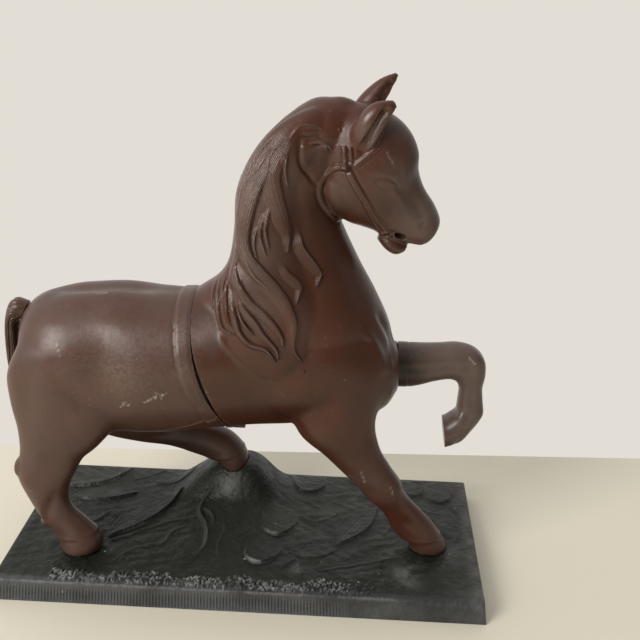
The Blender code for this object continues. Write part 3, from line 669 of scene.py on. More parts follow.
def blendWeight(points):
    # Strongest smoothing where limbs meet the trunk, nearly none on hooves, ears and face.
    spots = [  # x, y, z, radius, weight
        (-52, 0, 138, 16, 1.0), (-30, -22, 132, 14, 0.6), (-30, 22, 132, 18, 1.0), (6, -24, 134, 16, 0.9),
        (6, 24, 134, 16, 1.0), (28, 0, 120, 16, 1.0), (10, -22, 88, 20, 1.0), (-8, -22, 84, 12, 1.0),
        (22, -16, 84, 12, 1.0), (8, 0, 76, 14, 0.9), (26, 14, 96, 13, 0.8), (-96, -22, 100, 18, 1.0),
        (-118, -20, 112, 18, 1.0), (-126, -18, 86, 12, 0.9), (-96, -20, 74, 12, 0.9), (-112, 0, 76, 14, 0.9),
        (-96, 22, 100, 18, 1.0), (-118, 20, 112, 18, 1.0), (-128, 20, 82, 12, 0.9), (-92, 22, 72, 12, 0.9),
        (2, 0, 196, 12, 0.8), (-6, -12, 196, 7, 0.5), (0, 10, 180, 9, 0.8), (0, -10, 180, 6, 0.7),
        (28, 0, 163, 4, 0.5), (12, -9, 203, 4, 0.5), (14, 8, 213, 4, 0.5), (-104, 26, 56, 10, 0.8),
        (-116, -24, 56, 10, 0.6), (28, -14, 44, 8, 0.6),
        (4, 0, 219, 10, 1.0), (-6, 0, 214, 9, 0.6), (-26, -26, 108, 12, 1.0), (-10, -26, 112, 12, 1.0),
        (-40, -24, 122, 12, 1.0), (-2, -20, 140, 10, 0.8), (-4, -18, 160, 9, 0.7), (-42, -20, 140, 9, 0.8),
    ]
    weight = np.full(len(points), 0.05)
    for x, y, z, radius, strength in spots:
        away = ((points - (x, y, z)) ** 2).sum(axis=1) / radius**2
        weight = np.maximum(weight, strength * np.exp(-(away**2)))
    return weight


def shapeRelief(points, normals):
    # Every part of the relief is a height along the skin's own normal, in millimetres.
    x, y, z = points.T
    flat = points[:, [0, 2]]
    side = np.clip(np.abs(normals[:, 1]) * 1.6, 0.0, 1.0)
    offset = np.zeros(len(points))
    for cx, cz, rx, rz, tilt, height, where in body["humps"]:
        chosen = side * (1.0 if where == 0 else (y * where > 0))
        offset += height * hump(points, (cx, cz), (rx, rz), tilt) * chosen
    for route, half, depth in body["creases"]:
        pick, t, across, _ = nearLine(flat, route, half * 2.5)
        ends = smoothStep(t, -0.05, 0.25) * (1 - smoothStep(t, 0.75, 1.0)) * smoothStep(-y[pick], -3.0, 1.0)
        offset[pick] -= depth * np.exp(-((across / half) ** 2)) * ends
    # Back: a shallow valley along the spine between two rounded muscles.
    along = smoothStep(-x, 56, 92) * (1 - smoothStep(-x, 106, 124)) * (normals[:, 2] > 0) * (z > 110)
    offset += along * (-2.0 * np.exp(-((y / 4.6) ** 2)) + 0.9 * np.exp(-(((np.abs(y) - 10.5) / 5.0) ** 2)))
    # Girth strap just behind the parting, stopping above the belly.
    line = throughRows(girth[1:], 8)
    behind = x - np.interp(z, line[::-1, 1], line[::-1, 0])
    lowEdge = smoothStep(z, 73, 76) * (z < 137) * (z > 60)
    band = smoothStep(behind, body["strapBehind"] - 0.5, body["strapBehind"] + 0.3)
    band = band * (1 - smoothStep(behind, body["strapAhead"] - 0.3, body["strapAhead"] + 0.5))
    groove = np.exp(-(((behind - body["strapBehind"] + 1.1) / 0.5) ** 2))
    offset += lowEdge * (body["strapHeight"] * band - 0.3 * groove)
    # Head.
    headMask = smoothStep(x - 0.12 * (z - 200), -14, -8) * (z > 150)
    faceRelief = np.zeros(len(points))
    for cx, cz, rx, rz, tilt, height in face["humps"]:
        faceRelief += height * hump(points, (cx, cz), (rx, rz), tilt) * side
    for route, half, depth in face["grooves"]:
        pick, t, across, _ = nearLine(flat, route, half * 3)
        faceRelief[pick] -= depth * np.exp(-((across / half) ** 2)) * smoothStep(t, -0.1, 0.12) * side[pick]
    straps = strapField(points, np.zeros(len(points)))
    onEar = (y < -10.2) & (z > 203) | (z > 214) & (x > 8)
    offset += headMask * np.where(onEar, 0.0, faceRelief + straps * np.clip(side + (z > 200), 0.0, 1.0))
    for (route, half, depth), chosen in (
        (face["nearEarHollow"], (y < -9.0) & (normals[:, 1] < 0.35)),
        (face["farEarHollow"], (y > 5.0) & (normals[:, 1] < 0.25)),
    ):
        pick, t, across, _ = nearLine(flat, route, half * 2)
        ends = smoothStep(t, -0.1, 0.2) * (1 - smoothStep(t, 0.75, 1.0))
        offset[pick] -= depth * np.exp(-((across / half) ** 4)) * ends * chosen[pick]
    # Mane on the near side, shorter locks over the crest on the far side.
    near = smoothStep(-y, 1.0, 6.0) * side
    field, hairs, shown = lockField(flat, mane["locks"], mane["strandPitch"], mane["strandHeight"])
    for route, half, depth in mane["hollows"]:
        pick, t, across, _ = nearLine(flat, route, half * 2.5)
        ends = smoothStep(t, -0.1, 0.25) * (1 - smoothStep(t, 0.7, 1.0))
        offset[pick] -= near[pick] * depth * np.exp(-((across / half) ** 2)) * ends
    offset += near * field * (z > 100) * (1 - smoothStep(x, 1.5, 3.0))
    shown = shown * near * (z > 100) * (x < 2)
    curls = lockField(flat, mane["curls"], 0.8, 0.25)[0]
    offset += curls * smoothStep(-y, 2.0, 6.0) * (z > 196)
    far, farHairs, farShown = lockField(flat, farManeLocks(mane["farLocks"]), mane["strandPitch"], 0.14)
    onFar = smoothStep(y, 0.5, 3.5) * (z > 110) * (x < 2)
    offset += onFar * far
    hairs = np.where(y > 0.5, farHairs, hairs)
    shown = np.where(y > 0.5, farShown * onFar, shown)
    # Hooves: a ridge at the top edge and a fine groove below it.
    for ax, az, bx, bz, middle in body["hoofRings"]:
        slope = (bz - az) / (bx - ax)
        above = z - (az + slope * (x - ax))
        nearby = (np.abs(x - (ax + bx) / 2) < 14) & (np.abs(y - middle) < 12) & (z < 46)
        ridge = 0.3 * np.exp(-(((above - 0.4) / 1.1) ** 2))
        offset += nearby * (ridge - 0.14 * np.exp(-(((above + 1.3) / 0.6) ** 2)))
    return offset, hairs, shown


def makeSkin():
    names = ["torso", "neck", "head", "chin", "nearEar", "farEar", "nearForeleg", "chestBoss"]
    names += ["nearHindLeg", "farHindLeg", "maneMass"]
    grids = [loftGrid(horse[name]) for name in names] + [eggGrid(*row) for row in tufts]
    skin = joinedSkin("skin", grids, horse["voxel"])
    print("skin joined:", len(skin.data.vertices), "points")
    points = pointsOf(skin.data)
    onHead = (points[:, 2] > 150) & (points[:, 0] > -12)
    onMane = (points[:, 1] < -2) & (points[:, 2] > 103) & (points[:, 0] > -50) & (points[:, 0] < 4)
    if horse["fineGrain"]:
        refine(skin, onHead | onMane)
    mesh = skin.data
    edges = edgesOf(mesh)
    points = pointsOf(mesh)
    points = smoothed(points, edges, 44, 0.6 * blendWeight(points))
    for step in (0.55, -0.57, 0.55, -0.57):
        points = smoothed(points, edges, 1, step)
    setPoints(mesh, points)
    normals = normalsOf(mesh)
    offset, hairs, shown = shapeRelief(points, normals)
    points = points + normals * offset[:, None]
    setPoints(mesh, smoothed(points, edges, 1, 0.3))
    setPaint(mesh, "hairs", hairs)
    setPaint(mesh, "hairShown", shown)
    print("relief laid on:", len(mesh.vertices), "points")
    return skin


def girthLine(steps=8):
    return np.vstack([girth[:1], throughRows(girth[1:], steps)])


def girthBand(behind, ahead):
    line = girthLine()
    return slabOf("band", np.vstack([line + (behind, 0), line[::-1] + (ahead, 0)]), -60, 60, "Y")


def girthRegion(front):
    # Everything ahead of the parting or behind it; the gap in front of it opens towards the belly.
    line = girthLine()
    if front:
        opening = smoothStep(124 - line[:, 1], 0, 22) * (1 - 0.6 * smoothStep(96 - line[:, 1], 0, 16))
        line[:, 0] += 0.12 + 1.35 * opening
        corners = [(-28.0, 2.0), (110.0, 2.0), (110.0, 236.0)]
    else:
        line[:, 0] -= 0.12
        corners = [(-30.0, 2.0), (-170.0, 2.0), (-170.0, 236.0)]
    return slabOf("region", np.vstack([line, corners]), -62, 62, "Y")


door = dict(back=-86.0, front=-38.0, halfBack=14.6, halfFront=24.5, seam=0.7)


def doorOutline(grow):
    # Seen from above: narrow at the back and past the parting at the front, which trims it.
    front = -28.0
    spread = (door["halfFront"] - door["halfBack"]) / (door["front"] - door["back"])
    wide = door["halfBack"] + spread * (front - door["back"]) + grow
    narrow = door["halfBack"] + grow
    back = door["back"] - grow
    return [(back, -narrow), (front, -wide), (front, wide), (back, narrow)]


def chamber():
    # The coin space: barrel, chest and neck in one, lower under the back and drawn in at the rump.
    barrel = inset(horse["torso"], wall)[2:-2]
    barrel[:, 1] -= 1.5
    barrel[0] += (0.0, -3.5, 0.0, 4.0, -5.0, 0.0)
    space = tubeOf("chamber", loftGrid(barrel, 4, 56))
    return carve(space, tubeOf("throat", loftGrid(inset(horse["neck"], wall + 0.4)[:-1], 4, 44)), "UNION")


def core(deeper):
    depth = wall + fit + 1.6 + deeper
    space = tubeOf("core", loftGrid(inset(horse["torso"], depth), 4, 56))
    return carve(space, tubeOf("throat", loftGrid(inset(horse["neck"], depth + 0.4), 4, 44)), "UNION")


def collar():
    # The ring on the front body that slides into the rear body, and the step that joins it to the wall.
    ring = tubeOf("collar", loftGrid(inset(horse["torso"], wall + fit), 4, 56))
    carve(ring, girthBand(-7.0, 4.0), "INTERSECT")
    carve(ring, core(0.0))
    root = tubeOf("root", loftGrid(inset(horse["torso"], wall - 0.6), 4, 52))
    carve(root, girthBand(1.8, 3.7), "INTERSECT")
    carve(root, core(0.35))
    carve(ring, root, "UNION")
    return carve(ring, slabOf("way", doorOutline(2.0), 50.3, 92.3, "Z"))


def slotCutter():
    # A slanted slab through the crest: 30 mm along it and one coin wide.
    length, width, depth = 30.0, 4.6, 13.0
    along = np.array([14.0, 20.6]) / math.hypot(14.0, 20.6)
    out = np.array([-along[1], along[0]])
    middle = np.array([-27.2, 200.0])
    corners = [(-0.5, 6.0), (0.5, 6.0), (0.5, -depth), (-0.5, -depth)]
    outline = [middle + along * length * a + out * b for a, b in corners]
    return slabOf("slot", outline, -width / 2, width / 2, "Y")


def keepHalf(item, left):
    gap = horse["splitGap"] / 2
    low, high = ((-170, gap, 1), (112, 62, 238)) if left else ((-170, -62, 1), (112, -gap, 238))
    return carve(item, blockOf("half", low, high), "INTERSECT")


hoofScrews = [  # place, x, y, washer height, length above it
    ("near_fore", 54.4, -9.8, 4.9, 12.5),
    ("near_hind", -109.6, -23.0, 4.9, 13.5),
    ("far_hind", -44.0, 29.2, 20.0, 16.0),
]


def makeShells():
    skin = makeSkin()
    space = chamber()
    (mx, my, mz), radii, tilt = face["mouth"]
    for way in (-1, 1):
        carve(skin, tubeOf("mouth", eggGrid((mx, my * way, mz), radii, tilt)))
    front = carve(twin(skin, "front"), girthRegion(True), "INTERSECT")
    carve(front, space, keep=True)
    carve(front, collar(), "UNION")
    carve(front, slotCutter())
    carve(front, pegOf("socket", 26.6, 40.0, 4.3, 14.0, 96.0))
    rear = carve(twin(skin, "rear"), girthRegion(False), "INTERSECT")
    flap = carve(twin(rear, "bellyDoor"), slabOf("shape", doorOutline(0.0), 50.0, 92.0, "Z"), "INTERSECT")
    carve(rear, space, keep=True)
    carve(rear, slabOf("way", doorOutline(door["seam"]), 50.0, 92.0, "Z"))
    carve(rear, pegOf("dock", -145.0, -128.4, 3.3, 0.0, 121.0))
    for number, (_, x, y, low, length) in enumerate(hoofScrews):
        carve(front if number == 0 else rear, rodOf("hole", x, y, 5.0, low + length + 0.6, 1.45))
    carve(flap, tubeOf("core", loftGrid(inset(horse["torso"], wall), 4, 56)))
    back, ahead = door["back"], door["front"]
    carve(flap, blockOf("tongue", (back - 5.0, -7.0, 68.7), (back + 5.0, 7.0, 70.3)), "UNION")
    carve(flap, blockOf("root", (back + 0.4, -7.0, 66.6), (back + 5.0, 7.0, 70.0)), "UNION")
    carve(flap, blockOf("thumbTab", (ahead - 4.0, -5.5, 68.6), (ahead + 4.4, 5.5, 70.1)), "UNION")
    carve(flap, blockOf("tabRoot", (ahead - 4.6, -5.5, 68.4), (ahead - 2.0, 5.5, 71.4)), "UNION")
    pieces = {
        "front_body_left": keepHalf(twin(front, "frontBodyLeft"), True),
        "rear_body_left": keepHalf(twin(rear, "rearBodyLeft"), True),
        "front_body_right": keepHalf(front, False),
        "rear_body_right": keepHalf(rear, False),
        "belly_door": flap,
    }
    front.name = "frontBodyRight"
    rear.name = "rearBodyRight"
    bpy.data.objects.remove(skin)
    bpy.data.objects.remove(space)
    print("shells cut")
    return pieces


raisedLeg = dict(
    rows=[
        (36.34, 106.9, 36.34, 84.8, 9.2, 14.0),
        (41.6, 106.8, 41.6, 84.9, 9.1, 14.0),
        (48.0, 106.8, 47.0, 86.0, 8.8, 14.0),
        (56.0, 107.3, 54.0, 88.2, 8.0, 14.0),
        (64.0, 108.0, 60.6, 89.5, 7.6, 14.0),
        (71.4, 106.0, 64.2, 88.6, 7.2, 14.0),
        (77.0, 99.8, 65.8, 86.2, 6.8, 14.0),
        (78.2, 92.6, 66.2, 83.4, 6.0, 14.0),
        (77.4, 85.4, 66.0, 79.4, 5.6, 14.0),
        (78.0, 79.0, 65.8, 75.6, 5.8, 14.0),
        (78.6, 71.6, 65.4, 72.8, 6.6, 14.0),
        (75.0, 64.4, 62.4, 70.4, 7.6, 14.0),
        (68.2, 56.4, 60.4, 68.8, 8.4, 14.0),
        (61.6, 53.4, 59.6, 68.6, 8.6, 14.0),
    ],
    humps=[  # x, z, radii, tilt, height
        (75, 103, 4.5, 4.0, -40, 0.9),  # knee
        (70, 96, 3.0, 6.0, 10, -0.8),
        (52, 97, 14, 2.2, 0, -0.7),  # between the forearm muscles
        (72, 84, 2.0, 7.0, 0, -0.8),  # tendon groove
        (77, 73, 2.6, 3.0, 0, 0.7),  # fetlock
        (67.5, 72.0, 2.0, 2.4, 0, 0.8),
    ],
    collarAt=41.6,
)


def makeRaisedLeg():
    skin = tubeOf("raisedForeleg", loftGrid(raisedLeg["rows"], 16, 96))
    points, normals = pointsOf(skin.data), normalsOf(skin.data)
    x, _, z = points.T
    side = np.clip(np.abs(normals[:, 1]) * 1.5, 0.0, 1.0)
    offset = np.zeros(len(points))
    for cx, cz, rx, rz, tilt, height in raisedLeg["humps"]:
        offset += height * hump(points, (cx, cz), (rx, rz), tilt) * side
    offset -= 0.2 * np.exp(-(((x - raisedLeg["collarAt"]) / 0.5) ** 2)) * (z > 82)  # edge of the root collar
    for near, height, width in ((0.0, 0.4, 1.0), (1.8, -0.2, 0.6)):  # top edge of the hoof
        above = (x - 62.0) * 0.67 - (z - 70.6) * 0.20 - 7.4 + near
        offset += height * np.exp(-((above / width) ** 2)) * (z < 74) * (x < 79)
    offset[-1] = 0.0
    points += normals * offset[:, None]
    keepRoot = x < 37.5
    points[keepRoot] = pointsOf(skin.data)[keepRoot]
    setPoints(skin.data, points)
    return carve(skin, pegOf("pin", 28.0, 38.0, 4.0, 14.0, 96.0), "UNION")


tailHair = dict(
    rows=[
        (-132.2, 126.0, -135.7, 117.6, 4.0, 0.0),
        (-137.4, 127.2, -137.5, 116.2, 4.7, 0.0),
        (-141.2, 124.4, -138.2, 113.6, 5.3, 0.0),
        (-143.8, 116.0, -137.4, 109.6, 6.0, 0.0),
        (-144.5, 104.0, -137.2, 101.0, 6.4, 0.0),
        (-143.8, 90.0, -136.4, 88.0, 6.4, 0.0),
        (-142.2, 76.0, -134.6, 73.6, 5.6, 0.0),
        (-139.6, 64.0, -133.6, 61.4, 4.0, 0.0),
        (-136.8, 55.6, -134.4, 54.6, 1.4, 0.0),
    ],
    locks=7,
    lockDepth=0.09,
    strands=31,
    strandDepth=0.022,
)


def makeTail():
    # The radius of each ring swells and shrinks with the cosine of the angle times the number of locks;
    # the locks wander round the tail with a slow sine of the ring number.
    grid = loftGrid(tailHair["rows"], 24, 160)
    rings, around = grid.shape[:2]
    down = np.linspace(0, 1, rings)[:, None]
    turn = (np.arange(around) * 2 * math.pi / around)[None, :]
    wander = 0.5 * np.sin(7.0 * down) + 0.3 * np.sin(13.0 * down + 1.0)
    lock = np.abs(np.cos(tailHair["locks"] / 2 * (turn + wander))) ** 0.6 - 0.6
    strand = np.cos(tailHair["strands"] * (turn + wander * 1.15))
    swell = tailHair["lockDepth"] * lock * 1.6 + tailHair["strandDepth"] * strand
    scale = 1 + swell * smoothStep(down, 0.03, 0.2)
    middle = grid.mean(axis=1, keepdims=True)
    grid = middle + (grid - middle) * scale[:, :, None]
    grid[:, :, 0] = np.maximum(grid[:, :, 0], baseBack + 0.05)
    return carve(tubeOf("tail", grid), pegOf("pin", -138.6, -129.0, 3.0, 0.0, 121.0), "UNION")


ground = dict(
    top=10.6,
    columns=463,
    rows=176,
    leaves=[  # two tips, half width, height, bend; the side right of the line from tip to tip is raised
        ((-134, 27), (-101, 50), 6.0, 1.6, 2.0),
        ((-128, 18), (-94, 24), 6.5, 1.5, -1.0),
        ((-101, -16.5), (-70, 24), 7.5, 1.7, -2.5),
        ((11, -13), (31, 21), 7.6, 1.5, -1.5),
        ((-12, -20), (12, -16), 5.5, 0.8, 1.0),
        ((-70, 44), (-50, 49), 3.6, 0.7, 0.0),
        ((-88, 34), (-66, 40), 4.6, 0.7, 1.0),
        ((20, 30), (46, 47), 6.0, 0.9, 2.0),
        ((48, 26), (70, 16), 6.0, 0.8, -1.5),
        ((-126, -8), (-104, 6), 5.0, 0.8, 1.0),
    ],
    discs=[  # middle, radii, height, which way the high side looks (degrees)
        ((-18.5, 3.5), (9.6, 11.0), 1.9, -100),
        ((-24.0, -18.5), (9.6, 11.6), 1.8, -105),
        ((-5.6, 39.5), (9.2, 10.5), 1.8, -80),
        ((48.5, 41.0), (8.4, 9.4), 1.4, -80),
        ((62.5, 37.0), (8.8, 10.4), 1.5, -70),
        ((61.0, 6.0), (11.0, 17.0), 1.2, -40),
        ((-60.0, -29.0), (5.0, 5.0), 0.6, -90),
        ((22.0, 45.0), (6.0, 4.0), 0.7, -90),
    ],
    stems=[  # route of x and y, half width, height
        ([(-100, -19), (-91.6, -14.4), (-81, -6.4), (-72, -1.4), (-58, 3.2)], 0.75, 1.1),
        ([(-51.5, 18), (-56.5, 14), (-58.6, 9), (-57.8, 4), (-54.4, -2), (-52.2, -10), (-52, -19),
          (-55, -28)], 1.1, 1.5),
        ([(-58, 9), (-52, 4), (-50, -3)], 0.8, 1.0),
        ([(-92, -33), (-87, -26), (-83, -23), (-78, -20), (-72, -17), (-69.5, -9.5), (-64, -4)], 0.8, 0.9),
        ([(-88.6, -33), (-88, -27), (-79, -25), (-74, -33)], 0.8, 0.9),
        ([(-42, -9), (-36, -10.6), (-33, -9), (-30.5, -4)], 0.6, 0.8),
        ([(-8.5, 9), (-3, 5.5), (3, 6), (11, 13.5)], 0.6, 0.7),
        ([(-14, -33), (-8, -26), (-6, -33), (-3, -36)], 1.0, 1.3),
        ([(3, -33), (14, -30), (30, -24), (42, -20)], 0.7, 0.6),
        ([(-46, 2), (-44, -6), (-46, -16), (-44, -28)], 0.7, 0.6),
        ([(-100, 36), (-92, 40), (-84, 47)], 0.6, 0.7),
        ([(33, -4), (38, 6), (36, 20), (40, 30)], 0.6, 0.6),
    ],
    blades=900,
    bladeEnd=34.0,  # no grass ahead of this x
    ribPitch=3,  # columns for one rib
    ribDepth=0.5,
    ribEnd=30.0,
    soles=[(54.4, -9.8, 11.5, 10.5), (-109.6, -23.0, 12.0, 11.5)],
)


def groundHeight(x, y):
    # The low swell and the mound that the solid base has.
    wide = np.where(x < -40.0, 26.0, 17.0)
    deep = np.where(y < 31.0, 15.5, 17.0)
    away = np.abs((x + 40.0) / wide) ** 3 + np.abs((y - 31.0) / deep) ** 4
    peak = 20.4 * np.exp(-0.9 * away)
    foot = 10.5 * np.exp(-(((x + 41.0) / 25.0) ** 2) - ((y - 27.0) / 21.0) ** 2)
    return ground["top"] + (peak**3 + foot**3) ** (1 / 3) * np.clip((50.0 - y) / 5.0, 0.0, 1.0)


def leafField(x, y):
    # Across a leaf from tip to tip the outline is a sine; inside it the height rises towards one side.
    field = np.zeros_like(x)
    for first, second, half, height, bend in ground["leaves"]:
        line = np.array(second, dtype=float) - first
        length = np.linalg.norm(line)
        line /= length
        u = ((x - first[0]) * line[0] + (y - first[1]) * line[1]) / length
        arch = np.sin(np.clip(u, 0, 1) * math.pi)
        v = (x - first[0]) * line[1] - (y - first[1]) * line[0] - bend * arch
        edge = half * arch**0.85
        inside = smoothStep(edge - np.abs(v), -0.3, 0.8) * (u > 0) * (u < 1)
        rise = 0.35 + 0.65 * np.clip((v + edge) / (2 * edge + 0.1), 0, 1)
        rim = 0.3 * np.exp(-(((edge - np.abs(v) - 0.6) / 0.6) ** 2))
        vein = 0.2 * np.exp(-((v / 0.6) ** 2))
        field = np.maximum(field, inside * (height * rise + rim * arch - vein * arch))
    return field


def discField(x, y):
    # A flat round stone, tilted so that one side stands proud and drops off sharply.
    field = np.zeros_like(x)
    for (cx, cy), (rx, ry), height, turn in ground["discs"]:
        dx, dy = (x - cx) / rx, (y - cy) / ry
        wobble = 1 + 0.05 * np.sin(3 * np.arctan2(dy, dx) + cx)
        inside = smoothStep(wobble - np.hypot(dx, dy), -0.02, 0.08)
        rise = 0.5 + 0.5 * (dx * math.cos(math.radians(turn)) + dy * math.sin(math.radians(turn)))
        field = np.maximum(field, inside * height * (0.3 + 0.7 * rise))
    return field


def bladeField(x, y, seed=11):
    # Short grass blades in a band along the front edge, most of them pointing down and forward.
    random = np.random.default_rng(seed)
    field = np.zeros(x.shape)
    columnX, rowY = x[:, 0], y[0]
    for _ in range(ground["blades"]):
        cx = random.uniform(baseBack + 26, ground["bladeEnd"])
        band = 1 - smoothStep(np.array(cx), 8.0, ground["bladeEnd"])
        cy = random.uniform(-48.4, -41.5 + 1.6 * math.sin(cx / 7.0) + 1.2 * math.sin(cx / 2.9))
        lean = random.normal(0.0, 0.55)
        length = random.uniform(1.6, 3.4)
        height = random.uniform(0.5, 1.3) * (0.25 + 0.75 * band)
        curl = random.uniform(-0.5, 0.5)
        i = np.flatnonzero(np.abs(columnX - cx) < 4.0)
        j = np.flatnonzero(np.abs(rowY - cy) < 4.0)
        if not len(i) or not len(j):
            continue
        cut = np.ix_(i, j)
        dx, dy = x[cut] - cx, y[cut] - cy
        u = (dx * math.sin(lean) - dy * math.cos(lean)) / length
        v = dx * math.cos(lean) + dy * math.sin(lean) - curl * length * u * u
        shape = height * np.clip(1 - (v / 0.55) ** 2, 0, 1) * np.clip(1 - (2 * u) ** 2, 0, 1) ** 0.6
        field[cut] = np.maximum(field[cut], shape)
    return field


def makeBase():
    # The top is a height over a grid of x and y; the walls run down from its rim and carry the ribs.
    columns, rows = ground["columns"], ground["rows"]
    x = np.linspace(baseBack + 1.0, baseFront - 1.0, columns)
    t = np.linspace(0, 1, rows)
    y = (-baseHalf + 1.0) + (2 * baseHalf - 2.0) * (0.72 * t + 0.28 * t**2)
    gridX, gridY = np.meshgrid(x, y, indexing="ij")
    height = groundHeight(gridX, gridY)
    onMound = height > ground["top"] + 2.0
    relief = np.maximum(leafField(gridX, gridY), discField(gridX, gridY))
    flat = np.stack([gridX.ravel(), gridY.ravel()], axis=1)
    stems = np.zeros(len(flat))
    for route, half, rise in ground["stems"]:
        pick, along, across, _ = nearLine(flat, route, half * 2)
        ends = smoothStep(along, -0.05, 0.1) * (1 - smoothStep(along, 0.85, 1.05))
        stems[pick] = np.maximum(stems[pick], rise * np.exp(-((across / half) ** 2)) * ends)
    relief = np.maximum(relief, stems.reshape(gridX.shape))
    lumps = 0.34 * np.sin(gridX / 5.3 + 1.3 * np.sin(gridY / 7.1)) * np.sin(gridY / 4.4 + np.sin(gridX / 9.7))
    lumps += 0.26 * np.sin(gridX / 1.9 + 2.0 * np.sin(gridY / 3.3)) * np.sin(gridY / 1.7 + gridX / 6.1)
    lumps *= 1 - smoothStep(gridX, 40, 62) * 0.7
    plain = 1 - 0.75 * smoothStep(relief, 0.3, 0.9)
    relief = relief + np.where(onMound, 0.45, 1.0) * plain * (lumps + 0.25)
    blades = bladeField(gridX, gridY)
    margin = smoothStep(gridY, -44.0, -37.0)  # the front margin is plain apart from the grass
    relief = relief * margin
    fromEdge = np.minimum.reduce([gridX - x[0], x[-1] - gridX, y[-1] - gridY])
    relief *= smoothStep(fromEdge, 0.4, 4.0)
    relief = np.maximum(relief, blades)
    for cx, cy, rx, ry in ground["soles"]:
        relief *= smoothStep(np.hypot((gridX - cx) / rx, (gridY - cy) / ry), 0.95, 1.35)
    hoofNear = np.hypot((gridX + 44) / 11, (gridY - 29.2) / 11.5)
    relief *= smoothStep(hoofNear, 0.8, 1.2)
    # Rounded rim, wider at the plain front right corner.
    ahead = smoothStep(gridX, 30, 66)
    frontEdge = gridY - y[0]
    for edge, radius in ((fromEdge, 1.1), (frontEdge, 0.9 + 4.0 * ahead)):
        near = np.clip(1 - edge / radius, 0, 1)
        height = height - (1 - np.sqrt(1 - near**2)) * radius * (0.75 if edge is frontEdge else 1.0)
    top = np.stack([gridX, gridY, height + relief], axis=2).reshape(-1, 3)
    a = (np.arange(columns - 1)[:, None] * rows + np.arange(rows - 1)[None, :]).reshape(-1)
    quads = [np.stack([a, a + rows, a + rows + 1, a + 1], axis=1)]
    rim = np.concatenate([
        np.arange(columns) * rows,
        (columns - 1) * rows + np.arange(1, rows),
        np.arange(columns - 2, -1, -1) * rows + rows - 1,
        np.arange(rows - 2, 0, -1),
    ])
    edge = top[rim]
    middleX = (baseBack + baseFront) / 2
    foot = np.stack([
        middleX + (edge[:, 0] - middleX) * (baseFront - baseBack) / (baseFront - baseBack - 2.0),
        edge[:, 1] * baseHalf / (baseHalf - 1.0),
        np.zeros(len(rim)),
    ], axis=1)
    levels = np.array([0.0, 0.06, 0.14, 0.35, 0.6, 0.86, 0.93, 1.0])
    count = np.arange(len(rim))
    ribs = np.cos(count * 2 * math.pi / ground["ribPitch"] + 0.35) * (count < columns)
    ribs = ribs * (1 - smoothStep(edge[:, 0], ground["ribEnd"] - 24, ground["ribEnd"]))
    points = [top]
    previous = rim
    for number, level in enumerate(levels[1:], start=1):
        ring = edge * (1 - level) + foot * level
        reach = smoothStep(level, 0.08, 0.2) * (1 - smoothStep(level, 0.9, 0.97))
        ring[:, 1] += (0.5 - 0.5 * ribs) * ground["ribDepth"] * reach * (ribs != 0)
        if number == 1:  # the rim bulges a little over the front wall
            ring[:, 1] += 0.15 * (count < columns)
        points.append(ring)
        here = len(top) + (number - 1) * len(rim) + count
        quads.append(np.stack([previous, here, np.roll(here, -1), np.roll(previous, -1)], axis=1))
        previous = here
    base = putMesh("base", np.vstack(points), np.vstack(quads))
    builder = bmesh.new()
    builder.from_mesh(base.data)
    builder.verts.ensure_lookup_table()
    builder.faces.new([builder.verts[k] for k in previous])
    bmesh.ops.triangulate(builder, faces=[f for f in builder.faces if len(f.verts) > 4])
    bmesh.ops.recalc_face_normals(builder, faces=builder.faces)
    builder.to_mesh(base.data)
    builder.free()
    hollow = blockOf("hollow", (baseBack + 3.4, -47.6, -1.0), (baseFront - 3.4, 47.6, ground["top"] - wall))
    for _, sx, sy, low, _ in hoofScrews:
        if low < 10.0:
            carve(hollow, rodOf("boss", sx, sy, low + 0.6, 12.0, 5.2, 48))
    carve(base, hollow)
    for _, sx, sy, low, _ in hoofScrews:
        carve(base, rodOf("bore", sx, sy, 1.0, 40.0, 1.45))
        if low > 10.0:
            carve(base, rodOf("counterbore", sx, sy, 1.3, low + 0.6, 4.2))
    sole = tubeOf("sole", loftGrid(inset(horse["farHindLeg"][-5:], -0.4), 6, 56))
    carve(base, carve(sole, rodOf("under", -43.5, 29.2, 27.4, 28.8, 7.6), "UNION"))
    print("base made:", len(base.data.polygons), "faces")
    return base


fixing = dict(
    headRadius=2.9,
    shankRadius=1.25,
    washerRadius=3.6,
    washerHole=1.7,
    threadPitch=0.8,
    threadDepth=0.14,
)


def turned(name, x, y, profile, around=48):
    # A profile of radius and height swept once round a vertical axis.
    profile = np.array(profile, dtype=float)
    turn = np.arange(around) * 2 * math.pi / around
    grid = np.stack([
        x + profile[:, :1] * np.cos(turn),
        y + profile[:, :1] * np.sin(turn),
        np.repeat(profile[:, 1:], around, axis=1),
    ], axis=2)
    return tubeOf(name, grid)


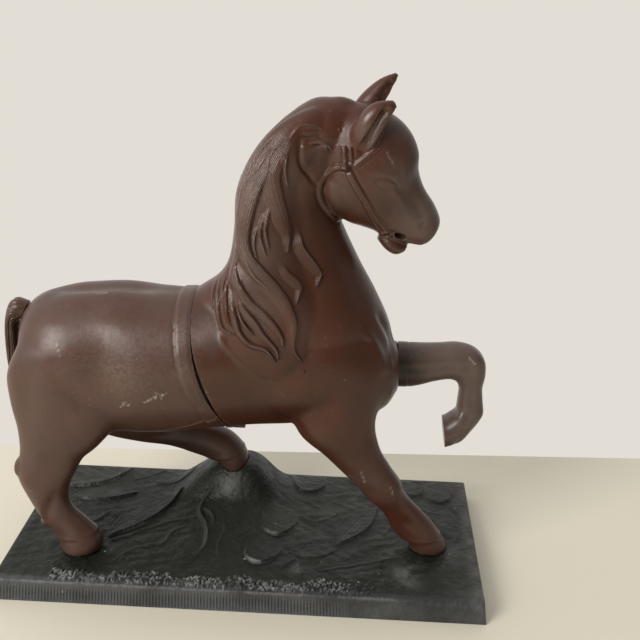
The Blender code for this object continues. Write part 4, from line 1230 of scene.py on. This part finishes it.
def makeFixing(place, x, y, low, length):
    radius, shank = fixing["headRadius"], fixing["shankRadius"]
    bottom = low - 2.1
    arc = np.linspace(0.05, math.pi / 2, 9)
    head = [(radius * math.sin(a), bottom + 0.9 - 0.9 * math.cos(a)) for a in arc]
    head += [(radius, low - 0.3), (radius - 0.15, low - 0.1), (shank + 0.1, low - 0.1)]
    rise = np.arange(low + 0.4, low + length - 1.2, fixing["threadPitch"] / 4)
    wave = fixing["threadDepth"] * np.cos(np.arange(len(rise)) * math.pi / 2)
    shaft = [(shank - fixing["threadDepth"] + w, h) for w, h in zip(wave, rise)]
    tip = [(shank * 0.7, low + length - 0.6), (0.15, low + length)]
    screw = turned("hoofScrew_" + place, x, y, head + [(shank, low)] + shaft + tip)
    carve(screw, blockOf("slot", (x - 3.5, y - 0.45, bottom - 1.0), (x + 3.5, y + 0.45, low - 1.3)))
    outer, inner = fixing["washerRadius"], fixing["washerHole"]
    ring = [(outer - 0.12, low), (outer, low + 0.12), (outer, low + 0.38), (outer - 0.12, low + 0.5)]
    washer = turned("hoofWasher_" + place, x, y, ring, 64)
    carve(washer, rodOf("hole", x, y, low - 1.0, low + 2.0, inner))
    return screw, washer


def cavity(mesh):
    # How far the mean of a point's neighbours lies outside the skin: over 0 in creases, under 0 on ridges.
    points, normals, edges = pointsOf(mesh), normalsOf(mesh), edgesOf(mesh)
    length = np.linalg.norm(points[edges[:, 0]] - points[edges[:, 1]], axis=1)
    wide = np.bincount(edges.ravel(), np.repeat(length, 2), len(points)) / np.maximum(
        np.bincount(edges.ravel(), minlength=len(points)), 1)
    bend = ((neighbourMean(points, edges) - points) * normals).sum(axis=1) / np.maximum(wide, 0.15) ** 2
    bend = np.clip(bend, -1.5, 1.5)[:, None]
    return smoothed(bend, edges, 2, 0.6)[:, 0]


def setPaint(mesh, name, values):
    layer = mesh.attributes.new(name, "FLOAT", "POINT")
    layer.data.foreach_set("value", np.asarray(values, dtype=np.float32))


def finishPiece(item, look, angle=38.0, most=190000):
    # Crease values for the material, at most this many triangles, smooth shading up to the angle, and the
    # one material.
    setPaint(item.data, "cavity", cavity(item.data))
    triangles = len(item.data.loops) - 2 * len(item.data.polygons)
    if triangles > most:
        thin = item.modifiers.new("thin", "DECIMATE")
        thin.ratio = most / triangles
        applied(item)
    mesh = item.data
    mesh.shade_smooth()
    mesh.set_sharp_from_angle(angle=math.radians(angle))
    mesh.materials.clear()
    mesh.materials.append(look)


def addNode(tree, kind, inputs=None, **settings):
    node = tree.nodes.new("ShaderNode" + kind)
    for key, value in settings.items():
        setattr(node, key, value)
    for key, value in (inputs or {}).items():
        if isinstance(value, bpy.types.NodeSocket):
            tree.links.new(value, node.inputs[key])
        else:
            node.inputs[key].default_value = value
    return node


def newLook(name):
    look = bpy.data.materials.new(name)
    look.use_nodes = True
    tree = look.node_tree
    coords = addNode(tree, "TexCoord").outputs["Object"]
    return look, tree, tree.nodes["Principled BSDF"], coords


def noise(tree, coords, scale, detail=3.0, roughness=0.55):
    inputs = {"Vector": coords, "Scale": scale, "Detail": detail, "Roughness": roughness}
    return addNode(tree, "TexNoise", inputs).outputs[0]


def ranged(tree, value, low, high, toLow=0.0, toHigh=1.0):
    inputs = {"Value": value, "From Min": low, "From Max": high, "To Min": toLow, "To Max": toHigh}
    return addNode(tree, "MapRange", inputs, interpolation_type="SMOOTHSTEP").outputs[0]


def blend(tree, factor, first, second, mode="MIX"):
    node = addNode(tree, "Mix", data_type="RGBA", blend_type=mode)
    for socket, value in ((node.inputs[0], factor), (node.inputs[6], first), (node.inputs[7], second)):
        if isinstance(value, bpy.types.NodeSocket):
            tree.links.new(value, socket)
        elif isinstance(value, tuple):
            socket.default_value = (*value, 1.0)
        else:
            socket.default_value = value
    return node.outputs[2]


def sums(tree, first, second, operation="MULTIPLY"):
    node = addNode(tree, "Math", operation=operation, use_clamp=operation == "ADD")
    for socket, value in ((node.inputs[0], first), (node.inputs[1], second)):
        if isinstance(value, bpy.types.NodeSocket):
            tree.links.new(value, socket)
        else:
            socket.default_value = value
    return node.outputs[0]


def painted(tree, name):
    return addNode(tree, "Attribute", attribute_name=name).outputs["Fac"]


plastic = dict(
    # the next colour is a darker tone, and also the colour of the painted shade in creases and of the painted
    # shadows
    deep=(0.022, 0.0080, 0.0040),
    body=(0.058, 0.0190, 0.0085),
    warm=(0.074, 0.0200, 0.0090),
    sheenAndDustGrey=(0.124, 0.0890, 0.0755),  # greyer brown for the rear body, the raised leg and the greyer places; on the rear body and those places it is a painted sheen, partly dust
    # the next colour is pale wear, and also the colour of the painted highlights and glints
    rubbedAndLit=(0.165, 0.118, 0.096),
    dust=(0.33, 0.29, 0.25),
    scratch=(0.26, 0.22, 0.19),
    roughness=(0.29, 0.44),
)


def brownLook(name, greyShare=0.0, hairy=False):
    look, tree, shader, coords = newLook(name)
    broad = noise(tree, coords, 26.0, 4.0)
    cloud = noise(tree, coords, 75.0, 4.0, 0.6)
    grain = noise(tree, coords, 1500.0, 2.0, 0.5)
    crease = painted(tree, "cavity")
    colour = blend(tree, ranged(tree, broad, 0.38, 0.66), plastic["body"], plastic["warm"])
    # Greyer by the piece's share and by the listed places: a painted sheen and reflection, partly dust.
    grey = sums(tree, painted(tree, "sheenAndDust"), greyShare, "ADD")
    grey = sums(tree, grey, ranged(tree, cloud, 0.30, 0.62, 0.7, 1.0))
    colour = blend(tree, grey, colour, plastic["sheenAndDustGrey"])
    colour = blend(tree, ranged(tree, cloud, 0.45, 0.75, 0.0, 0.35), colour, plastic["deep"])
    # Painted shade: darker in the creases, partly a darker wash in the hollows.
    colour = blend(tree, ranged(tree, crease, 0.03, 0.6, 0.0, 0.6), colour, plastic["deep"])
    # Painted shadow and shade at the listed darker places.
    shadowMask = sums(tree, painted(tree, "stainAndShadow"), ranged(tree, cloud, 0.3, 0.6, 0.6, 1.0))
    colour = blend(tree, shadowMask, colour, plastic["deep"])
    # Paler on the ridges: wear, partly a painted highlight.
    ridgeWearAndHighlight = sums(tree, ranged(tree, crease, -0.08, -0.50, 0.0, 0.75), ranged(tree, cloud, 0.32, 0.58))
    colour = blend(tree, ridgeWearAndHighlight, colour, plastic["rubbedAndLit"])
    if hairy:
        # One minus the absolute sine of half a turn per hair, shaken by noise: fine ridges whose paler crests
        # are a painted highlight, partly wear.
        shake = sums(tree, noise(tree, coords, 120.0, 3.0), -4.5)
        turn = sums(tree, sums(tree, painted(tree, "hairs"), shake, "SUBTRACT"), math.pi)
        wave = sums(tree, turn, 0.0, "SINE")
        ridge = sums(tree, 1.0, sums(tree, wave, 0.0, "ABSOLUTE"), "SUBTRACT")
        patchy = ranged(tree, cloud, 0.34, 0.6, 0.45, 1.0)
        ridge = sums(tree, sums(tree, ridge, painted(tree, "hairShown")), patchy)
        colour = blend(tree, ranged(tree, ridge, 0.30, 0.9, 0.0, 0.45), colour, plastic["rubbedAndLit"])
    speck = noise(tree, coords, 620.0, 2.0, 0.7)
    # Pale rubs, and painted glints at the bridle knot and the fold behind the crown strap.
    rubbedAndLit = sums(tree, painted(tree, "rubAndGlint"), ranged(tree, speck, 0.40, 0.62, 0.25, 1.0))
    colour = blend(tree, sums(tree, rubbedAndLit, 0.55), colour, plastic["rubbedAndLit"])
    fine = ranged(tree, noise(tree, coords, 900.0, 1.0, 0.5), 0.70, 0.80)
    dusty = sums(tree, fine, ranged(tree, broad, 0.40, 0.60))
    colour = blend(tree, sums(tree, dusty, 0.25), colour, plastic["dust"])
    broken = ranged(tree, noise(tree, coords, 700.0, 2.0, 0.6), 0.42, 0.52)
    colour = blend(tree, sums(tree, painted(tree, "scratch"), broken), colour, plastic["scratch"])
    tree.links.new(colour, shader.inputs["Base Color"])
    low, high = plastic["roughness"]
    tree.links.new(ranged(tree, cloud, 0.3, 0.7, low, high), shader.inputs["Roughness"])
    shader.inputs["IOR"].default_value = 1.48
    uneven = noise(tree, coords, 130.0, 3.0, 0.5)
    first = addNode(tree, "Bump", {"Height": uneven, "Strength": 0.3, "Distance": 0.0006}).outputs[0]
    if hairy:
        bump = {"Height": ridge, "Strength": 0.6, "Distance": 0.0002, "Normal": first}
        first = addNode(tree, "Bump", bump).outputs[0]
    bump = {"Height": grain, "Strength": 0.30, "Distance": 0.00006, "Normal": first}
    tree.links.new(addNode(tree, "Bump", bump).outputs[0], shader.inputs["Normal"])
    return look


turf = dict(
    # the next colour is a darker tone, and also the colour of the painted shade in creases
    deep=(0.0034, 0.0044, 0.0028),
    top=(0.0100, 0.0120, 0.0074),
    side=(0.078, 0.082, 0.086),
    # the next colour is for pale marks, and also for the painted highlights on ridges and stone edges
    pale=(0.20, 0.205, 0.20),
    edge=(0.30, 0.29, 0.27),
)


def baseLook():
    look, tree, shader, coords = newLook("greenGreyPaint")
    broad = noise(tree, coords, 30.0, 4.0)
    cloud = noise(tree, coords, 110.0, 5.0, 0.65)
    grain = noise(tree, coords, 1300.0, 3.0, 0.6)
    crease = painted(tree, "cavity")
    colour = blend(tree, painted(tree, "wallSide"), turf["top"], turf["side"])
    colour = blend(tree, ranged(tree, broad, 0.40, 0.64, 0.0, 0.55), colour, turf["deep"])
    # Painted shade: darker in the creases.
    colour = blend(tree, ranged(tree, crease, 0.03, 0.5, 0.0, 0.9), colour, turf["deep"])
    # Paler on the ridges: a painted highlight, partly wear.
    ridgeHighlightAndWear = sums(tree, ranged(tree, crease, -0.08, -0.45, 0.0, 0.6), ranged(tree, cloud, 0.38, 0.58))
    colour = blend(tree, ridgeHighlightAndWear, colour, turf["pale"])
    # Pale grass tips and patches, and painted highlights on the near stones' edges.
    pale = sums(tree, painted(tree, "pale"), ranged(tree, cloud, 0.36, 0.60, 0.15, 1.0))
    colour = blend(tree, pale, colour, turf["pale"])
    edge = sums(tree, painted(tree, "rimWear"), ranged(tree, cloud, 0.32, 0.66))
    colour = blend(tree, edge, colour, turf["edge"])
    specks = ranged(tree, noise(tree, coords, 430.0, 1.0, 0.5), 0.80, 0.82)
    colour = blend(tree, sums(tree, specks, 0.8), colour, (0.5, 0.5, 0.48))
    tree.links.new(colour, shader.inputs["Base Color"])
    tree.links.new(ranged(tree, cloud, 0.3, 0.7, 0.40, 0.60), shader.inputs["Roughness"])
    shader.inputs["IOR"].default_value = 1.40
    lumps = noise(tree, coords, 260.0, 4.0, 0.6)
    first = addNode(tree, "Bump", {"Height": lumps, "Strength": 0.85, "Distance": 0.0013})
    bump = {"Height": grain, "Strength": 0.35, "Distance": 0.0001, "Normal": first.outputs[0]}
    tree.links.new(addNode(tree, "Bump", bump).outputs[0], shader.inputs["Normal"])
    return look


def steelLook():
    look, tree, shader, coords = newLook("zincSteel")
    cloud = noise(tree, coords, 380.0, 4.0, 0.6)
    stainAndShadow = ranged(tree, noise(tree, coords, 160.0, 3.0), 0.52, 0.70)
    colour = blend(tree, ranged(tree, cloud, 0.3, 0.7), (0.40, 0.41, 0.42), (0.62, 0.62, 0.61))
    colour = blend(tree, sums(tree, stainAndShadow, 0.6), colour, (0.16, 0.10, 0.06))
    tree.links.new(colour, shader.inputs["Base Color"])
    tree.links.new(ranged(tree, cloud, 0.3, 0.7, 0.28, 0.5), shader.inputs["Roughness"])
    shader.inputs["Metallic"].default_value = 1.0
    bump = {"Height": noise(tree, coords, 2600.0, 2.0), "Strength": 0.3, "Distance": 0.00003}
    tree.links.new(addNode(tree, "Bump", bump).outputs[0], shader.inputs["Normal"])
    return look


wear = dict(
    rubsAndGlints=[  # x, y, z, reach, amount: pale rubs and dust; at the bridle knot and the fold behind the crown strap they are painted glints
        (-58.0, -24.0, 124.0, 9.0, 1.0),
        (-72.0, -28.0, 121.0, 16.0, 0.5),
        (-84.0, -29.0, 108.0, 17.0, 0.9),
        (-100.0, -29.0, 116.0, 16.0, 0.5),
        (-46.0, -22.0, 128.0, 7.0, 0.7),
        (-57.0, -29.0, 108.0, 6.0, 0.8),
        # painted glints: the bridle knot and the fold behind the crown strap
        (9.6, -14.0, 196.0, 3.0, 0.8),
        (-1.0, -13.0, 203.0, 5.0, 0.8),
        (60.0, 6.0, 103.0, 16.0, 0.3),
        (18.0, -20.0, 53.0, 6.0, 0.5),
        (-48.0, 21.0, 40.0, 6.0, 0.6),
        (-24.0, -20.0, 180.0, 12.0, 0.4),
    ],
    sheenAndDustPlaces=[  # x, y, z, reach, amount: greyer places on the front body, a painted sheen and reflection, on the mane partly dust
        (44.0, -4.0, 174.0, 18.0, 0.95),
        (32.0, -12.0, 190.0, 15.0, 0.6),
        (18.0, -13.0, 211.0, 7.0, 0.95),
        (8.0, -14.0, 186.0, 12.0, 0.25),
        (-26.0, -16.0, 185.0, 20.0, 0.7),
        (-26.0, -22.0, 160.0, 16.0, 0.55),
        (-24.0, -27.0, 138.0, 16.0, 0.6),
        (-10.0, -28.0, 130.0, 9.0, 0.3),
        (-12.0, 0.0, 214.0, 16.0, 0.5),
        (30.0, -6.0, 212.0, 14.0, 0.4),
        (-44.0, -20.0, 128.0, 10.0, 0.4),
        (58.0, -10.0, 18.0, 16.0, 0.45),
        (24.0, -16.0, 50.0, 16.0, 0.3),
    ],
    paintedShadows=[  # x, y, z, reach, amount: darker places that are painted shadow and shade, at the raised leg's root, on the chest, behind the elbow and before the mane
        (38.0, 6.0, 96.0, 10.0, 0.95),
        (38.0, 14.0, 107.0, 6.0, 0.9),
        (38.0, 14.0, 85.0, 6.0, 0.9),
        (34.0, -4.0, 92.0, 12.0, 0.6),
        (-12.0, -26.0, 92.0, 22.0, 0.35),
        (-3.0, -17.0, 176.0, 9.0, 0.5),
    ],
    scratches=[  # from and to as x, y, z, then half width
        ((-70.0, -29.6, 95.4), (-64.5, -29.6, 97.4), 0.30),
        ((-69.0, -29.6, 97.6), (-66.5, -29.6, 94.2), 0.22),
        ((-73.0, -29.6, 93.0), (-66.0, -29.6, 96.4), 0.26),
        ((-74.5, -29.6, 92.0), (-71.0, -29.6, 94.4), 0.30),
        ((-85.0, -29.6, 89.0), (-83.0, -29.6, 91.6), 0.35),
        ((-82.2, -29.6, 89.4), (-81.0, -29.6, 91.0), 0.25),
        ((-112.5, -28.4, 119.0), (-110.4, -28.4, 112.0), 0.20),
        ((-114.0, -28.0, 121.0), (-106.0, -28.6, 122.0), 0.22),
        ((26.0, -13.5, 201.0), (28.6, -13.2, 196.2), 0.20),
        ((-46.0, -24.5, 126.0), (-43.4, -25.4, 124.4), 0.3),
        ((13.4, -25.0, 109.0), (12.0, -26.0, 105.0), 0.12),
        ((21.0, -23.0, 58.0), (23.0, -22.0, 52.0), 0.2),
        ((35.0, -19.5, 49.0), (36.8, -19.0, 43.0), 0.2),
        ((-100.0, -9.4, 134.2), (-94.0, -9.0, 134.6), 0.14),
        ((69.0, 7.0, 103.0), (72.0, 7.2, 100.0), 0.25),
        ((-88.0, 29.0, 98.0), (-80.0, 29.4, 101.0), 0.25),
        ((-52.0, 27.0, 118.0), (-49.0, 27.0, 112.0), 0.25),
    ],
)


def paintWear(mesh):
    # Pale rubs with painted glints, the painted sheen and the painted shadows fall off like a bell round each
    # place; a scratch is full within its width of a segment.
    points = pointsOf(mesh)
    layers = {"rubAndGlint": wear["rubsAndGlints"], "sheenAndDust": wear["sheenAndDustPlaces"], "stainAndShadow": wear["paintedShadows"]}
    for layer, places in layers.items():
        values = np.zeros(len(points))
        for x, y, z, reach, amount in places:
            away = ((points - (x, y, z)) ** 2).sum(axis=1)
            values = np.maximum(values, amount * np.exp(-away / reach**2 * 1.6))
        setPaint(mesh, layer, values)
    scratch = np.zeros(len(points))
    for start, end, half in wear["scratches"]:
        line = np.array(end) - start
        share = np.clip(((points - start) @ line) / (line @ line), 0.0, 1.0)
        away = points - start - share[:, None] * line
        away = np.sqrt(away[:, 0] ** 2 + away[:, 2] ** 2 + (0.12 * away[:, 1]) ** 2)
        scratch = np.maximum(scratch, 1 - smoothStep(away, half, half + 0.25))
    setPaint(mesh, "scratch", scratch)


def paintBase(mesh):
    points, normals = pointsOf(mesh), normalsOf(mesh)
    x, y, z = points.T
    sideways = smoothStep(np.hypot(normals[:, 0], normals[:, 1]), 0.45, 0.9) * (z < 11.5)
    frontMargin = 1 - smoothStep(y, -48.5, -45.0)
    setPaint(mesh, "wallSide", np.maximum(sideways, 0.7 * frontMargin))
    grassTip = smoothStep(z, 11.0, 11.7) * (y < -39.0) * (x < 38) * (x > -122)
    patches = [  # x, y, radii, amount
        (44.0, -33.0, 6.5, 9.0, 0.5),
        (-45.5, 18.0, 5.0, 4.5, 0.8),
        (70.0, -44.0, 8.0, 5.0, 0.12),
        (-100.0, -46.0, 14.0, 3.0, 0.3),
        (-7.0, -33.0, 3.0, 3.0, 0.4),
        (66.0, -12.0, 5.0, 10.0, 0.2),
    ]
    pale = 1.35 * grassTip
    for number in (0, 1):  # pale crescents on the low left edge of the two near stones: painted highlight where that edge faces the light, partly wear
        (cx, cy), (rx, ry), _, _ = ground["discs"][number]
        away = np.hypot((x - cx) / rx, (y - cy) / ry)
        turn = np.arctan2((y - cy) / ry, (x - cx) / rx)
        pale = np.maximum(pale, 1.3 * np.exp(-(((away - 0.97) / 0.035) ** 2) - ((turn + 1.95) / 0.4) ** 2))
    for cx, cy, rx, ry, amount in patches:
        pale = np.maximum(pale, amount * np.exp(-(((x - cx) / rx) ** 2) - ((y - cy) / ry) ** 2) * (z > 5))
    setPaint(mesh, "pale", pale)
    rim = np.minimum.reduce([x - baseBack, baseFront - x, baseHalf - y, y + baseHalf])
    endWear = smoothStep(x, 70, 77) * smoothStep(z, 1.0, 9.5)
    setPaint(mesh, "rimWear", np.maximum((1 - smoothStep(rim, 0.7, 1.4)) * (z > 9.2) * 0.35, endWear * 0.25))


greyShare = {  # how much greyer each piece is coloured; on the rear body the grey is a painted sheen
    "raised_foreleg": 1.0,
    "tail": 0.25,
    "rear_body_right": 0.36,
    "rear_body_left": 0.36,
    "belly_door": 0.1,
}
pieces = makeShells()
pieces["raised_foreleg"] = makeRaisedLeg()
pieces["tail"] = makeTail()
print("leg and tail made")
for node, piece in pieces.items():
    paintWear(piece.data)
    finishPiece(piece, brownLook("satinBrown_" + node, greyShare.get(node, 0.0), node.startswith("front")))
    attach(piece, "door" if node == "belly_door" else "bank")
    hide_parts(node)

base = makeBase()
paintBase(base.data)
finishPiece(base, baseLook(), 50.0)
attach(base, "bank")
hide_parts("base")

steel = steelLook()
for row in hoofScrews:
    for kind, piece in zip(("screw", "washer"), makeFixing(*row)):
        node = "hoof_" + kind + "_" + row[0]
        finishPiece(piece, steel, 30.0)
        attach(piece, "bank")
        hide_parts(node)
print("fixings made")

studio = dict(
    shelfColour=(0.74, 0.70, 0.575),
    wallColour=(0.767, 0.723, 0.665),
    brightAir=(0.92, 0.90, 0.87),  # from the back and above
    dimAir=(0.13, 0.12, 0.11),  # from the front and below
    brightFrom=(-0.42, 0.80, 0.32),
    shelfBackEdge=((-3.0, -0.065), (3.0, 0.246)),
    lights=[  # place, size, power, colour
        ((-0.75, -0.75, 0.72), 0.6, 12.5, (1.0, 0.97, 0.93)),
    ],
)


def makeStudio():
    (leftX, leftY), (rightX, rightY) = studio["shelfBackEdge"]
    mesh = bpy.data.meshes.new("shelf")
    mesh.from_pydata([(-3, -3, 0), (3, -3, 0), (rightX, rightY, 0), (leftX, leftY, 0)], [], [(0, 1, 2, 3)])
    shelf = bpy.data.objects.new("shelf", mesh)
    bpy.context.collection.objects.link(shelf)
    look, tree, shader, coords = newLook("palePaint")
    cloud = noise(tree, coords, 8.0, 3.0)
    darker = tuple(0.96 * c for c in studio["shelfColour"])
    tree.links.new(blend(tree, cloud, studio["shelfColour"], darker), shader.inputs["Base Color"])
    shader.inputs["Roughness"].default_value = 0.6
    mesh.materials.append(look)
    world = bpy.data.worlds.new("air")
    world.use_nodes = True
    tree = world.node_tree
    sky = tree.nodes["Background"]
    direction = addNode(tree, "TexCoord").outputs["Generated"]
    toBright = tuple(Vector(studio["brightFrom"]).normalized())
    facing = addNode(tree, "VectorMath", {0: direction, 1: toBright}, operation="DOT_PRODUCT")
    share = ranged(tree, facing.outputs["Value"], -0.75, 0.75)
    lit = blend(tree, share, studio["dimAir"], studio["brightAir"])
    seen = addNode(tree, "LightPath").outputs["Is Camera Ray"]
    tree.links.new(blend(tree, seen, lit, studio["wallColour"]), sky.inputs[0])
    bpy.context.scene.world = world
    aim = Vector((0.0, 0.0, 0.10))
    for number, (place, size, power, colour) in enumerate(studio["lights"]):
        lamp = bpy.data.lights.new("softbox%d" % number, "AREA")
        lamp.size = size
        lamp.energy = power
        lamp.color = colour
        holder = bpy.data.objects.new(lamp.name, lamp)
        holder.location = place
        holder.rotation_euler = (aim - Vector(place)).to_track_quat("-Z", "Y").to_euler()
        bpy.context.collection.objects.link(holder)
    bpy.context.scene.view_settings.view_transform = "Standard"


viewer = dict(place=(0.04907, -0.374431, 0.273628), lens=50.625, pitch=22.0, yaw=2.503, roll=1.324)


def makeCamera():
    camera = bpy.data.cameras.new("camera")
    camera.sensor_width = 36.0
    camera.lens = viewer["lens"]
    camera.clip_start = 0.01
    holder = bpy.data.objects.new("camera", camera)
    bpy.context.collection.objects.link(holder)
    turn = Matrix.Rotation(math.radians(viewer["yaw"]), 4, "Z")
    tilt = Matrix.Rotation(math.radians(90 - viewer["pitch"]), 4, "X")
    roll = Matrix.Rotation(math.radians(viewer["roll"]), 4, "Z")
    holder.matrix_world = Matrix.Translation(viewer["place"]) @ turn @ tilt @ roll
    bpy.context.scene.camera = holder


makeStudio()
makeCamera()
print("studio and camera ready")
